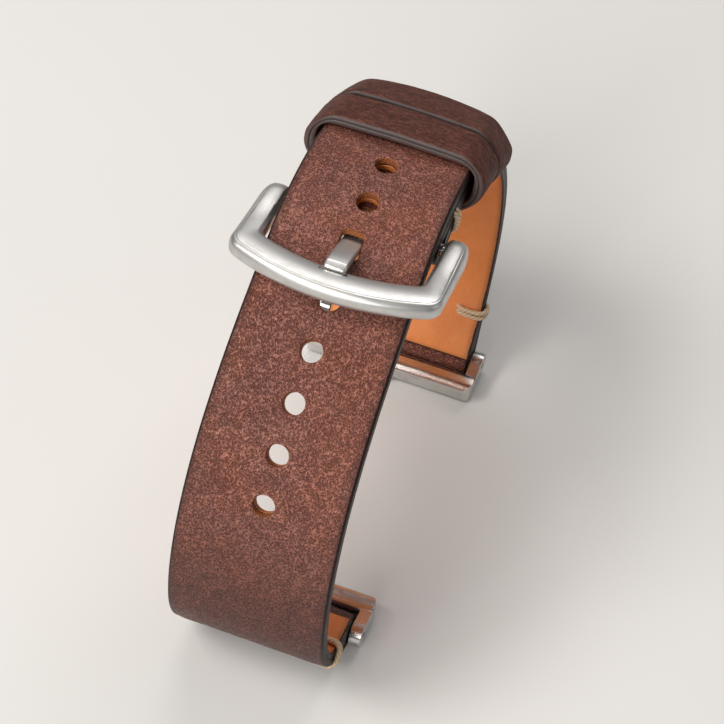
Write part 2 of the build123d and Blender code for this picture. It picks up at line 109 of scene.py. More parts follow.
def near_bends(lower_pin, crown):
    """Bends of the long strap from the lower fold to the crown."""
    shoulder_end = 90 + buckle_bend_turn
    flank_end = shoulder_end + shoulder_turn
    heel_end = flank_end + flank_turn
    pin_end = heel_end + heel_turn
    upper = heading(shoulder_end) - heading(90) + heading(shoulder_end + 90) * flat_run_share
    upper = upper + (heading(flank_end) - heading(shoulder_end)) * shoulder_share
    lower = heading(heel_end) - heading(flank_end)
    lower = lower + (heading(pin_end) - heading(heel_end)) * heel_share
    target = lower_pin + heading(pin_end) * fold_radius - crown
    top_radius, flank_radius = multiples(upper, lower, target)
    bend = bend_from(crown, 90, top_radius, buckle_bend_turn)
    flat_start = spot(bend, shoulder_end) + heading(shoulder_end + 90) * top_radius * flat_run_share
    shoulder = bend_from(flat_start, shoulder_end, top_radius * shoulder_share, shoulder_turn)
    flank = bend_from(spot(shoulder, flank_end), flank_end, flank_radius, flank_turn)
    heel = bend_from(spot(flank, heel_end), heel_end, flank_radius * heel_share, heel_turn)
    return [heel, flank, shoulder, bend]


def crown_radius_for(upper_pin, crown):
    """Radius of the bend that leaves the crown and runs on to the upper pin's fold."""
    leave = 90 - crown_turn
    target = upper_pin - crown + heading(leave) * (fold_radius + between_straps)
    return multiples(heading(leave) - heading(90), heading(leave - 90), target)[0]


def rail_runs(bends):
    """Straight and curved runs of a rail, in order: kind, length, bend."""
    runs, last = [], None
    for bend in bends:
        first = spot(bend, bend.start)
        if last is not None and np.linalg.norm(first - last) > 1e-6:
            runs.append(("straight", float(np.linalg.norm(first - last)), bend))
        runs.append(("bend", radians(bend.start - bend.end) * bend.radius, bend))
        last = spot(bend, bend.end)
    return runs


def rail_length(bends):
    return sum(length for _, length, _ in rail_runs(bends))


def station(bends, distance, offset=0.0):
    """Point and outward angle at a distance along a rail."""
    for kind, length, bend in rail_runs(bends):
        if distance <= length + 1e-9:
            if kind == "bend":
                angle = bend.start - degrees(distance / bend.radius)
                return spot(bend, angle, offset), angle
            along = heading(bend.start - 90) * (distance - length)
            return spot(bend, bend.start, offset) + along, bend.start
        distance -= length
    last = bends[-1]
    return spot(last, last.end, offset) + heading(last.end - 90) * distance, last.end


pin_level = fold_radius
shifted_crown = np.array([crown_shift, loop_height])
first_bends = near_bends(np.array([-lug_spacing / 2, pin_level]), shifted_crown)
rear = min(b.centre[0] - b.radius for b in first_bends if b.start >= 180 >= b.end)
front = crown_shift + crown_radius_for(np.array([lug_spacing / 2, pin_level]), shifted_crown)
loop_middle = (rear + front - between_straps) / 2
lower_pin = np.array([-lug_spacing / 2 - loop_middle, pin_level])
upper_pin = np.array([lug_spacing / 2 - loop_middle, pin_level])
crown = np.array([crown_shift - loop_middle, loop_height])
crown_radius = crown_radius_for(upper_pin, crown)
near_rail = near_bends(lower_pin, crown)
crown_distance = rail_length(near_rail)
tail_end_angle = 90 - degrees((tail_length - crown_distance) / crown_radius)
crown_centre = crown - heading(90) * crown_radius
long_rail = near_rail + [Bend(crown_centre, crown_radius, 90, tail_end_angle)]
short_rail = [
    Bend(near_rail[-1].centre, near_rail[-1].radius - between_straps, 90 + bar_turn, 90),
    Bend(crown_centre, crown_radius - between_straps, 90, 90 - crown_turn),
    Bend(upper_pin, fold_radius, 90 - crown_turn, 90 - crown_turn),
]
short_length = rail_length(short_rail)
bar_centre = spot(short_rail[0], short_rail[0].start, -fold_radius)


# Tracks: where a sheet's surface runs, by its distance along the strap


class Track:
    """Line in the YZ plane, with the outward direction at each distance along it."""

    def __init__(self, distances, points):
        self.distances = np.asarray(distances, float)
        self.points = np.asarray(points, float)
        step = np.gradient(self.points, axis=0)
        self.turns = np.unwrap(np.arctan2(step[:, 1], step[:, 0])) + pi / 2

    def point(self, distance):
        return np.array([np.interp(distance, self.distances, self.points[:, axis]) for axis in (0, 1)]).T

    def normal(self, distance):
        turn = np.interp(distance, self.distances, self.turns)
        return np.array([np.cos(turn), np.sin(turn)]).T


def turned_line(rail, pin, sign, turned_length, drop=0.0, count=80):
    """Points of a turned end's inner surface, from the fold to the strap."""
    total = rail_length(rail)
    angle = rail[0].start if sign > 0 else rail[-1].end
    leave = pin + heading(angle + 180 * sign) * (fold_radius + drop)
    distance = turned_length if sign > 0 else total - turned_length
    meet, meet_angle = station(rail, distance, -leather_thickness - drop)
    chord = np.linalg.norm(meet - leave)
    tangents = [heading(angle - 90 * sign) * chord, heading(meet_angle - 90 * sign) * chord]
    t = np.linspace(0, 1, count)[:, None]
    return (
        leave * (2 * t**3 - 3 * t**2 + 1) + tangents[0] * (t**3 - 2 * t**2 + t)
        + meet * (3 * t**2 - 2 * t**3) + tangents[1] * (t**3 - t**2)
    )


def walked(points, start=0.0):
    """Way along a polyline to each of its points."""
    steps = np.linalg.norm(np.diff(points, axis=0), axis=1)
    return start + np.concatenate([[0.0], np.cumsum(steps)])


def fold_points(pin, start, end, count=60):
    return pin + heading(np.linspace(start, end, count)) * fold_radius


def rail_points(rail, begin, finish, offset=0.0, step=0.15):
    distances = np.linspace(begin, finish, int((finish - begin) / step) + 2)
    return distances, np.array([station(rail, d, offset)[0] for d in distances])


fold_length = pi * fold_radius
lining_drop = glue_line + lining_thickness
lining_level = -leather_thickness - lining_drop


def leather_track(rail, pin, turned_length, reach, finish=None):
    """Track of an outer leather: flap, fold and strap, then the far turned end if it has one."""
    flap = turned_line(rail, pin, 1, turned_length)[::-1]
    fold = fold_points(pin, rail[0].start + 180, rail[0].start)
    start = np.concatenate([flap, fold[1:-1]])
    on_rail, points = rail_points(rail, 0, reach)
    back = walked(np.concatenate([start, points[:1]]))
    distances = [back[:-1] - back[-1], on_rail]
    if finish is not None:
        distances.append(walked(np.concatenate([points[-1:], finish]), reach)[1:])
        points = np.concatenate([points, finish])
    return Track(np.concatenate(distances), np.concatenate([start, points]))


def long_leather_track():
    return leather_track(long_rail, lower_pin, lug_turned_length, tail_length + 1)


def short_leather_track():
    fold = fold_points(upper_pin, short_rail[-1].end, short_rail[-1].end - 180)
    flap = turned_line(short_rail, upper_pin, -1, lug_turned_length)
    finish = np.concatenate([fold[1:-1], flap])
    return leather_track(short_rail, bar_centre, buckle_turned_length, short_length, finish)


def walked_as(line, length):
    """Way along a polyline to each of its points, scaled to a length for the whole."""
    return walked(line) / walked(line)[-1] * length


def long_lining_track():
    first = turned_line(long_rail, lower_pin, 1, lug_turned_length, lining_drop)
    distances, points = rail_points(long_rail, lug_turned_length, tail_length + 1, lining_level)
    near = walked_as(first, lug_turned_length)
    return Track(np.concatenate([near[:-1], distances]), np.concatenate([first[:-1], points]))


def short_lining_track():
    first = turned_line(short_rail, bar_centre, 1, buckle_turned_length, lining_drop)
    last = turned_line(short_rail, upper_pin, -1, lug_turned_length, lining_drop)[::-1]
    end = short_length - lug_turned_length
    distances, points = rail_points(short_rail, buckle_turned_length, end, lining_level)
    near = walked_as(first, buckle_turned_length)
    far = end + walked_as(last, lug_turned_length)
    return Track(
        np.concatenate([near[:-1], distances, far[1:]]), np.concatenate([first[:-1], points, last[1:]])
    )


def taper_width(direction, near, far):
    """Half width of a strap at points in the YZ plane."""
    along = heading(direction)
    reach = float((far - near) @ along)

    def half_width(points):
        share = (points - near) @ along / reach
        return lug_half_width + (tail_half_width - lug_half_width) * share

    return half_width


long_width = taper_width(taper_direction, lower_pin, crown)
short_width = taper_width(90, upper_pin, crown)


# Mesh making


def smooth_step(low, high, value):
    t = np.clip((np.asarray(value, float) - low) / (high - low), 0, 1)
    return t * t * (3 - 2 * t)


def put_in_scene(name, data):
    holder = bpy.data.objects.new(name, data)
    bpy.context.scene.collection.objects.link(holder)
    return holder


def ring_faces(rings, count, closed, base=0):
    """Quads between rings of vertices, and round again if closed, else with a face at each end."""
    faces = []
    for k in range(rings if closed else rings - 1):
        here, there = base + k * count, base + (k + 1) % rings * count
        for m in range(count):
            o = (m + 1) % count
            faces.append((here + m, here + o, there + o, there + m))
    if not closed:
        faces += [tuple(range(first, first + count)) for first in (base, base + (rings - 1) * count)]
    return faces


def make_piece(name, vertices, faces, attributes, body, slot, nodes, material):
    """Smooth mesh object in metres from vertices in mm, riding on a body."""
    mesh = bpy.data.meshes.new(name)
    mesh.from_pydata([tuple(v) for v in np.asarray(vertices) * mm], [], faces)
    mesh.validate()
    for key, values in attributes.items():
        values = np.asarray(values, np.float32)
        if values.ndim == 2:
            layer = mesh.attributes.new(key, "FLOAT_VECTOR", "POINT")
            layer.data.foreach_set("vector", values.ravel())
        else:
            layer = mesh.attributes.new(key, "FLOAT", "POINT")
            layer.data.foreach_set("value", values)
    grid = bmesh.new()
    grid.from_mesh(mesh)
    bmesh.ops.recalc_face_normals(grid, faces=grid.faces)
    grid.to_mesh(mesh)
    grid.free()
    mesh.shade_smooth()
    piece = put_in_scene(name, mesh)
    mesh.materials.append(material)
    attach(piece, body)
    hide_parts(*nodes)
    return piece


far_from_edge = 5.0


class Hole:
    """Hole in a sheet, in a patch of the sheet's own grid."""

    def __init__(
        self, low, high, centre, half_length, half_width, power=2.0, lean=((0, 1), (0, 0)), rim=0.16,
    ):
        self.low, self.high, self.centre = low, high, centre
        self.half_length, self.half_width, self.power = half_length, half_width, power
        self.lean, self.rim = lean, rim

    def outline(self, turn, grow, depth_share):
        """Points of the hole's edge, grown outwards, at a share of the sheet's depth."""
        c, s = np.cos(turn), np.sin(turn)
        stretch = np.where(c > 0, np.interp(depth_share, *self.lean), 0.0)
        reach = self.half_length + grow
        x = np.sign(c) * np.abs(c) ** (2 / self.power) * reach + np.abs(c) ** (2 / self.power) * stretch
        y = np.sign(s) * np.abs(s) ** (2 / self.power) * (self.half_width + grow)
        return self.centre + x, y


class Sheet:
    """Closed leather layer: a grid along a track, with rounded edges, holes and walls."""

    inner_columns, outer_columns, patch_half, end_margin = 8, 10, 3.5, 2.0

    def __init__(self, track, half_width, lines, thickness, side, edge_radius, holes, tip, relief):
        self.track, self.half_width, self.lines = track, half_width, np.asarray(lines, float)
        self.thickness, self.side, self.edge_radius = thickness, side, edge_radius
        self.holes, self.tip, self.relief = holes, tip, relief
        self.plan, self.faces = [], []

    def columns(self, reach):
        """Distances across the sheet of the grid's columns, for a half width."""
        inner = np.linspace(-self.patch_half, self.patch_half, self.inner_columns + 1)
        outer = np.linspace(self.patch_half, reach, self.outer_columns + 1)[1:]
        return np.concatenate([-outer[::-1], inner, outer])

    def place(self, row, column, inset):
        """Distance along and across the strap of a grid point, with the edge moved in."""
        line = self.lines[row]
        reach = float(self.half_width(self.track.point(line))) - inset
        across = self.columns(reach)[column]
        first, last = self.lines[0], self.lines[-1]
        if line < first + self.end_margin:
            line = line + inset * (1 - (line - first) / self.end_margin)
        if self.tip is not None:
            from_line, radius = self.tip
            if line > from_line:
                share = (line - from_line) / (last - from_line)
                end = last - radius + sqrt((radius - inset) ** 2 - across**2)
                line = from_line + (end - from_line) * share
        elif line > last - self.end_margin:
            line = line - inset * (1 - (last - line) / self.end_margin)
        return line, across

    def add(self, along, across, depth, edge, raw=0.0):
        self.plan.append((along, across, depth, edge, raw))
        return len(self.plan) - 1

    def depth_at(self, along):
        return float(self.thickness(along))

    def face_grid(self, inset, bottom):
        """Vertices and faces of the top or bottom, with the holes' rims."""
        rows, columns = len(self.lines), self.inner_columns + 2 * self.outer_columns + 1
        patches, skipped, inner, index = [], set(), set(), {}
        for hole in self.holes:
            ia = int(np.argmin(np.abs(self.lines - hole.low)))
            ib = int(np.argmin(np.abs(self.lines - hole.high)))
            ja, jb = self.outer_columns, self.outer_columns + self.inner_columns
            patches.append((hole, ia, ib, ja, jb))
            skipped.update((i, j) for i in range(ia, ib) for j in range(ja, jb))
            inner.update((i, j) for i in range(ia + 1, ib) for j in range(ja + 1, jb))
        for i in range(rows):
            for j in range(columns):
                if (i, j) in inner:
                    continue
                along, across = self.place(i, j, inset)
                reach = float(self.half_width(self.track.point(self.lines[i])))
                edge = min(reach - abs(across), along - self.lines[0] + 0.3)
                if self.tip is None:
                    edge = min(edge, self.lines[-1] - along + 0.3)
                else:
                    centre = self.lines[-1] - self.tip[1]
                    if along > centre:
                        edge = min(edge, self.tip[1] - sqrt((along - centre) ** 2 + across**2))
                depth = self.depth_at(along) if bottom else 0.0
                index[(i, j)] = self.add(along, across, depth, edge)
        for i in range(rows - 1):
            for j in range(columns - 1):
                if (i, j) not in skipped:
                    corners = ((i, j), (i + 1, j), (i + 1, j + 1), (i, j + 1))
                    self.faces.append(tuple(index[corner] for corner in corners))
        rims = []
        for hole, ia, ib, ja, jb in patches:
            loop = [(i, ja) for i in range(ia, ib)] + [(ib, j) for j in range(ja, jb)]
            loop += [(i, jb) for i in range(ib, ia, -1)] + [(ia, j) for j in range(jb, ja, -1)]
            centre = (self.lines[ia] + self.lines[ib]) / 2
            half = (self.lines[ib] - self.lines[ia]) / 2
            boundary = [index[key] for key in loop]
            places = np.array([self.plan[k][:2] for k in boundary])
            turn = np.arctan2(places[:, 1] / self.patch_half, (places[:, 0] - centre) / half)
            grow = 0.0 if bottom else hole.rim
            x, y = hole.outline(turn, grow, 1.0 if bottom else 0.0)
            last = boundary
            for share in (0.62, 0.36, 0.18, 0.06, 0.0):
                ring = []
                for k in range(len(loop)):
                    along = x[k] + (places[k, 0] - x[k]) * share
                    across = y[k] + (places[k, 1] - y[k]) * share
                    depth = self.depth_at(along) if bottom else 0.0
                    ring.append(self.add(along, across, depth, far_from_edge))
                last = self.band(last, ring)
            rims.append((hole, turn, last))
        edge_loop = [(i, 0) for i in range(rows - 1)] + [(rows - 1, j) for j in range(columns - 1)]
        edge_loop += [(i, columns - 1) for i in range(rows - 1, 0, -1)]
        edge_loop += [(0, j) for j in range(columns - 1, 0, -1)]
        return edge_loop, [index[key] for key in edge_loop], rims

    def band(self, first, second):
        """Quads between two closed rings of vertices; gives back the second."""
        count = len(first)
        for k in range(count):
            n = (k + 1) % count
            self.faces.append((first[k], first[n], second[n], second[k]))
        return second

    def build(self):
        loop, top_edge, top_rims = self.face_grid(self.edge_radius, False)
        _, low_edge, low_rims = self.face_grid(0.0, True)
        last = top_edge
        radius = self.edge_radius
        turns = np.radians([20, 40, 58, 75, 90])
        rings = [(radius * (1 - sin(t)), radius * (1 - cos(t))) for t in turns]
        for inset, drop in rings:
            ring = [self.add(*self.place(i, j, inset), drop, inset - drop) for i, j in loop]
            last = self.band(last, ring)
        for share in (0.35, 0.7):
            ring = []
            for i, j in loop:
                along, across = self.place(i, j, 0.0)
                depth = radius + (self.depth_at(along) - radius) * share
                ring.append(self.add(along, across, max(depth, radius * (1 + share / 10)), -depth))
            last = self.band(last, ring)
        self.band(last, low_edge)
        for (hole, turn, rim), (_, _, low_rim) in zip(top_rims, low_rims):
            last, count = rim, len(rim)
            for share in (0.3, 0.65, 1.0):
                bend = share * pi / 2
                x, y = hole.outline(turn, hole.rim * (1 - sin(bend)), 0.1 * share)
                depth = hole.rim * (1 - cos(bend))
                ring = [self.add(x[k], y[k], depth, far_from_edge, share) for k in range(count)]
                last = self.band(last, ring)
            for share in (0.4, 0.62, 0.8):
                x, y = hole.outline(turn, 0.0, share)
                depths = [self.depth_at(along) * share for along in x]
                ring = [self.add(x[k], y[k], depths[k], far_from_edge, 1.0) for k in range(count)]
                last = self.band(last, ring)
            self.band(last, low_rim)
        return self

    def mesh_data(self):
        plan = np.array(self.plan)
        along, across, depth = plan[:, 0], plan[:, 1], plan[:, 2]
        shift = self.relief(along, across, plan[:, 3])
        fade = 1 - np.clip(depth / leather_thickness, 0, 1)
        lowered = depth + shift * fade
        points = self.track.point(along) + self.track.normal(along) * (self.side * lowered)[:, None]
        vertices = np.column_stack([across, points])
        attributes = {
            "sheet": np.column_stack([along, across, depth]), "edge": plan[:, 3], "raw": plan[:, 4],
        }
        return vertices, self.faces, attributes


def evenly(start, end, step):
    return np.linspace(start, end, max(2, int(round((end - start) / step)) + 1))


def joined_lines(*groups):
    """Rows one group after another, without the rows that two groups share."""
    return np.concatenate([groups[0]] + [group[1:] for group in groups[1:]])


def noise_at(x, y, z, scale):
    return noise.noise(Vector((x * scale, y * scale, z * scale)))


hole_places = [first_hole + hole_pitch * number for number in range(hole_count)]


def strap_relief(along, across, edge):
    """Soft waves, a rolled edge and pressed hole rims, as depth below the flat surface."""
    waves = np.array([
        0.05 * noise_at(a, b, 3.1, 0.11) + 0.03 * noise_at(a, b, 7.7, 0.33)
        + 0.012 * noise_at(a, b, 1.3, 0.9)
        for a, b in zip(along, across)
    ])
    rolled = 0.10 * (1 - smooth_step(0.3, 2.2, edge))
    dimple = np.zeros_like(along)
    for place in hole_places:
        far = np.hypot(along - place, across) - hole_radius
        dimple += np.where(far < 3, 0.10 * np.exp(-np.clip(far, 0, 9) / 0.45), 0)
    return rolled + dimple - waves


def plain_relief(along, across, edge):
    waves = np.array([
        0.04 * noise_at(a, b, 5.5, 0.13) + 0.02 * noise_at(a, b, 2.2, 0.5) for a, b in zip(along, across)
    ])
    return 0.06 * (1 - smooth_step(0.3, 1.8, edge)) - waves


thinnest_flap = 0.03
thinning_start, thinning_end = 0.6, 3.2


def flap_thickness(track, rail, flap_length, fold_start, sign, origin, turned_length):
    """Thickness of the turned end: whole at the bore, then down to the strap's inner face."""

    def thickness(along):
        beyond = (fold_start - along) * sign
        if beyond <= 0:
            return leather_thickness
        share = min(beyond / flap_length, 1.0)
        distance = origin + sign * share * turned_length
        point = track.point(along)
        base, angle = station(rail, distance)
        depth = float((base - point) @ heading(angle))
        filled = max(depth - leather_thickness - thinnest_flap, thinnest_flap)
        blend = float(smooth_step(thinning_start, thinning_end, beyond))
        return leather_thickness + (filled - leather_thickness) * blend

    return thickness


leather_edge = 0.42
lining_edge = 0.3
tail_start = 104.0
buckle_flap_shift = 0.5
slot_reach = 6.5
row_step = 0.8
fold_row_step = 0.3
hole_row_step = 0.875
slot_row_step = 13 / 40
holes_begin = 39.5
holes_end = 102.5


def tail_rows(start):
    """Rows of the long strap from a start to the tail, so spaced that each hole has whole rows."""
    return joined_lines(
        evenly(start, holes_begin, row_step), evenly(holes_begin, holes_end, hole_row_step),
        evenly(holes_end, tail_length, row_step),
    )


def even_lining(along):
    return lining_thickness


def strap_piece(half, layer, sheet, slot, material):
    data = sheet.build().mesh_data()
    make_piece(f"strap_{half}_{layer}", *data, "strap_loop", slot, [f"{half}_strap_{layer}"], material)


def long_leather(material):
    track = long_leather_track()
    start = track.distances[0]
    flap_length = -fold_length - start
    thick = flap_thickness(track, long_rail, flap_length, -fold_length, 1, 0.0, lug_turned_length)
    lines = joined_lines(
        evenly(start, -fold_length, row_step), evenly(-fold_length, 0, fold_row_step), tail_rows(0),
    )
    holes = []
    for number, place in enumerate(hole_places):
        low, high = place - hole_pitch / 2, place + hole_pitch / 2
        if number == tongue_hole:
            push = ((0, 0.12, 0.62, 1), (0, -0.08, -0.50, -0.02))
            holes.append(Hole(low, high, place + 0.42, 2.05, 1.58, 4.4, push, 0.16))
        else:
            holes.append(Hole(low, high, place, hole_radius, hole_radius))
    tip = (tail_start, tail_tip_radius)
    sheet = Sheet(track, long_width, lines, thick, -1, leather_edge, holes, tip, strap_relief)
    strap_piece("long", "leather", sheet, "strap_leather", material)


def long_lining(material):
    track = long_lining_track()
    lines = tail_rows(1.6)
    holes = []
    for number, place in enumerate(hole_places):
        low, high = place - hole_pitch / 2, place + hole_pitch / 2
        if number == tongue_hole:
            holes.append(Hole(low, high + hole_row_step, place + 1.3, 2.6, 1.70, 2.8, rim=0.15))
        elif number == tongue_hole + 1:
            holes.append(Hole(low + hole_row_step, high, place, hole_radius, hole_radius, rim=0.12))
        else:
            holes.append(Hole(low, high, place, hole_radius, hole_radius, rim=0.12))
    tip = (tail_start, tail_tip_radius)
    sheet = Sheet(track, long_width, lines, even_lining, 1, lining_edge, holes, tip, plain_relief)
    strap_piece("long", "lining", sheet, "lining", material)


def short_leather(material):
    track = short_leather_track()
    start, end = track.distances[0], track.distances[-1]
    near = flap_thickness(
        track, short_rail, -fold_length - start, -fold_length, 1, buckle_flap_shift,
        buckle_turned_length,
    )
    upper_fold_end = short_length + fold_length
    far = flap_thickness(
        track, short_rail, end - upper_fold_end, upper_fold_end, -1, short_length, lug_turned_length,
    )

    def thick(along):
        return near(along) if along < short_length / 2 else far(along)

    middle = -fold_length / 2
    slot_start, slot_end = middle - slot_reach, middle + slot_reach
    lines = joined_lines(
        evenly(start, slot_start, row_step), evenly(slot_start, slot_end, slot_row_step),
        evenly(slot_end, short_length, row_step), evenly(short_length, upper_fold_end, fold_row_step),
        evenly(upper_fold_end, end, row_step),
    )
    holes = [Hole(slot_start, slot_end, middle, 4.7, 2.0, 8.0, rim=0.12)]
    sheet = Sheet(track, short_width, lines, thick, -1, leather_edge, holes, None, plain_relief)
    strap_piece("short", "leather", sheet, "strap_leather", material)


def short_lining(material):
    track = short_lining_track()
    lines = evenly(1.4, short_length - 1.6, row_step)
    sheet = Sheet(track, short_width, lines, even_lining, 1, lining_edge, (), None, plain_relief)
    strap_piece("short", "lining", sheet, "lining", material)


# Keepers

keeper_width = 7.5
keeper_thickness = 1.6
keeper_corner = 4.2
keeper_inner_corner = 1.2
keeper_arch = 0.4
keeper_side_slack = 0.6
keeper_room_below = 0.65
keeper_gap = 0.9
keeper_rounding = 0.5
keeper_corner_ease = 0.4
keeper_side_steps = 26
keeper_corner_steps = 16
keeper_corner_thinning = 0.36
keeper_wander = 0.05
keeper_unevenness = 0.04
keeper_edge_unevenness = 0.02
seam_depth = 0.16
seam_half = 0.09
fixed_keeper_start = 8.9


def rounded_rectangle(half_width, low, high, corner, per_side, per_corner):
    """Points and outward directions round a rectangle with rounded corners."""
    points, normals = [], []
    centres = [
        (half_width - corner, high - corner, 0), (-half_width + corner, high - corner, 90),
        (-half_width + corner, low + corner, 180), (half_width - corner, low + corner, 270),
    ]
    ends = []
    for x, y, start in centres:
        directions = heading(np.linspace(start, start + 90, per_corner + 1))
        ends.append((np.array([x, y]) + directions * corner, directions))
    for number, (arc, directions) in enumerate(ends):
        points.extend(arc)
        normals.extend(directions)
        after = ends[(number + 1) % 4][0][0]
        for share in np.linspace(0, 1, per_side + 1)[1:-1]:
            points.append(arc[-1] + (after - arc[-1]) * share)
            normals.append(directions[-1])
    return np.array(points), np.array(normals)


def band_section(width, thickness, rounding, groove_depth, groove_half):
    """Section of a two-layer band: along the strap, out from its middle, edge and groove marks."""
    half, flat = width / 2, thickness / 2
    level = half - rounding
    top = [(share * level, flat + 0.05 * (1 - share**2), 0, 0) for share in np.linspace(-1, 1, 15)]
    upper = []
    for angle in (25, 50, 75, 90):
        a = radians(angle)
        upper.append((level + rounding * sin(a), flat - rounding + rounding * cos(a), angle / 90, 0))
    upper += [(half, groove_half * 1.5, 1, 0), (half - 0.02, groove_half, 1, 0.3)]
    lower = [(along, -out, edge, groove) for along, out, edge, groove in upper[::-1]]
    front = upper + [(half - groove_depth, 0, 1, 1)] + lower
    under = [(share * level, -flat, 0, 0) for share in np.linspace(1, -1, 9)]
    back = [(-along, out, edge, groove) for along, out, edge, groove in front[::-1]]
    return top + front + under + back


def keeper(name, start, rise, tilt, skew, droop, body, material):
    """Two-layer leather band round both straps, arched on top and a little uneven."""
    half = keeper_width / 2
    middle_distance = crown_distance + start + half
    point, angle = station(long_rail, middle_distance)
    sag = half**2 / 2 / (crown_radius - between_straps - strap_thickness)
    below = between_straps + strap_thickness + sag + half * sin(radians(tilt)) + keeper_room_below
    half_inside = tail_half_width + keeper_side_slack
    middle_line = keeper_thickness / 2
    corner = (keeper_corner + keeper_inner_corner) / 2 + keeper_corner_ease + droop * 0.5
    path, outward = rounded_rectangle(
        half_inside + middle_line, -below - middle_line, rise + middle_line, corner,
        keeper_side_steps, keeper_corner_steps,
    )
    section = band_section(keeper_width, keeper_thickness, keeper_rounding, seam_depth, seam_half)
    walked_path = walked(path)
    vertices, marks, edges, grooves = [], [], [], []
    for k, (place, out) in enumerate(zip(path, outward)):
        aside = (place[0] / (half_inside + middle_line)) ** 2
        height_share = float(smooth_step(-below * 0.6, rise + 0.6, place[1]))
        thin = 1 - keeper_corner_thinning * (2 * out[0] * out[1]) ** 2
        wander = keeper_wander * noise_at(walked_path[k], 1.0, start, 0.25)
        for along, offset, edge, groove in section:
            lift = keeper_unevenness * noise_at(walked_path[k], along, start + 5, 0.35)
            uneven = keeper_edge_unevenness * noise_at(walked_path[k], along, 9.0, 1.2)
            spread = along + wander + uneven
            fall = (keeper_arch + droop * (0.5 + along / keeper_width)) * aside - keeper_arch * 0.7
            cross = place + out * (offset * thin + lift) - np.array([0.0, fall * height_share])
            vertices.append((cross[0], spread, cross[1]))
            marks.append((walked_path[k], along, offset))
            edges.append(edge)
            grooves.append(groove)
    faces = ring_faces(len(path), len(section), True)
    local = np.array(vertices)
    turn, twist = radians(tilt), radians(skew)
    y = local[:, 1] * cos(turn) - local[:, 2] * sin(turn)
    z = local[:, 1] * sin(turn) + local[:, 2] * cos(turn)
    x = local[:, 0] * cos(twist) - y * sin(twist)
    y = local[:, 0] * sin(twist) + y * cos(twist)
    forward, up = heading(angle - 90), heading(angle)
    world = np.column_stack([
        x, point[0] + y * forward[0] + z * up[0], point[1] + y * forward[1] + z * up[1],
    ])
    attributes = {"sheet": marks, "edge": edges, "raw": grooves}
    make_piece(f"{name}_loop", world, faces, attributes, body, "keeper_leather", [name], material)


# Buckle frame and tongue

frame_tilt = 15.0
half_opening = tail_half_width + 0.5
arm_width_front, arm_width_eye = 3.5, 3.3
frame_half_thickness = 1.25
front_outer, front_depth = 16.8, 5.0
front_bow, inner_bow = 3.7, 2.3
outer_corner, inner_corner = 2.4, 1.2
eye_radius = 1.9
tongue_half_width = 1.5
tongue_thickness = 1.2
tongue_level = 1.35
tongue_root_drop = 0.3
tongue_tip_length = 2.2
tongue_bevel = 0.28
knee_start, knee_finish = 0.86, 0.35
tip_bevel_length, tip_bevel_slope = 0.95, 0.42
tip_round_length, tip_round_side, tip_round_height = 0.5, 0.34, 0.12
ring_bore, ring_shoulder, ring_outside, ring_edge = 0.95, 1.9, 2.15, 0.25
ring_sides = 48
tongue_end = front_outer - front_depth + 1.1
notch_play = 0.4
out_direction, up_direction = heading(180 - frame_tilt), heading(90 - frame_tilt)


def frame_place(local):
    """World points of plan points: across, out from the bar, up."""
    local = np.asarray(local, float)
    yz = bar_centre + local[:, 1:2] * out_direction + local[:, 2:3] * up_direction
    return np.column_stack([-local[:, 0], yz])


def arc_through(ends_x, ends_y, middle_y, count):
    """Points of a shallow arc through (-x, y), (0, m), (x, y)."""
    rise = middle_y - ends_y
    radius = (ends_x**2 + rise**2) / (2 * rise)
    x = np.linspace(-ends_x, ends_x, count)
    return np.column_stack([x, middle_y - radius + np.sqrt(radius**2 - x**2)])


def rounded_corner(line, corner, radius, count=14):
    """A polyline with one of its corners rounded to a radius."""
    before, after = line[: corner + 1], line[corner:]
    backwards = before[::-1]
    back, fore = walked(backwards), walked(after)
    for reach in np.arange(radius * 0.2, radius * 4, 0.02):
        a = np.array([np.interp(reach, back, backwards[:, k]) for k in (0, 1)])
        b = np.array([np.interp(reach, fore, after[:, k]) for k in (0, 1)])
        ta, tb = a - line[corner], b - line[corner]
        cosine = ta @ tb / (np.linalg.norm(ta) * np.linalg.norm(tb))
        half_angle = np.arccos(np.clip(cosine, -1, 1)) / 2
        if reach * np.tan(half_angle) >= radius:
            break
    t = np.linspace(0, 1, count)[:, None]
    weight = sin(half_angle)
    shape = (a * (1 - t) ** 2 + line[corner] * 2 * weight * t * (1 - t) + b * t**2) / (
        (1 - t) ** 2 + 2 * weight * t * (1 - t) + t**2
    )
    keep_before = before[walked(before)[-1] - walked(before) > reach]
    keep_after = after[fore > reach]
    return np.concatenate([keep_before, shape, keep_after])


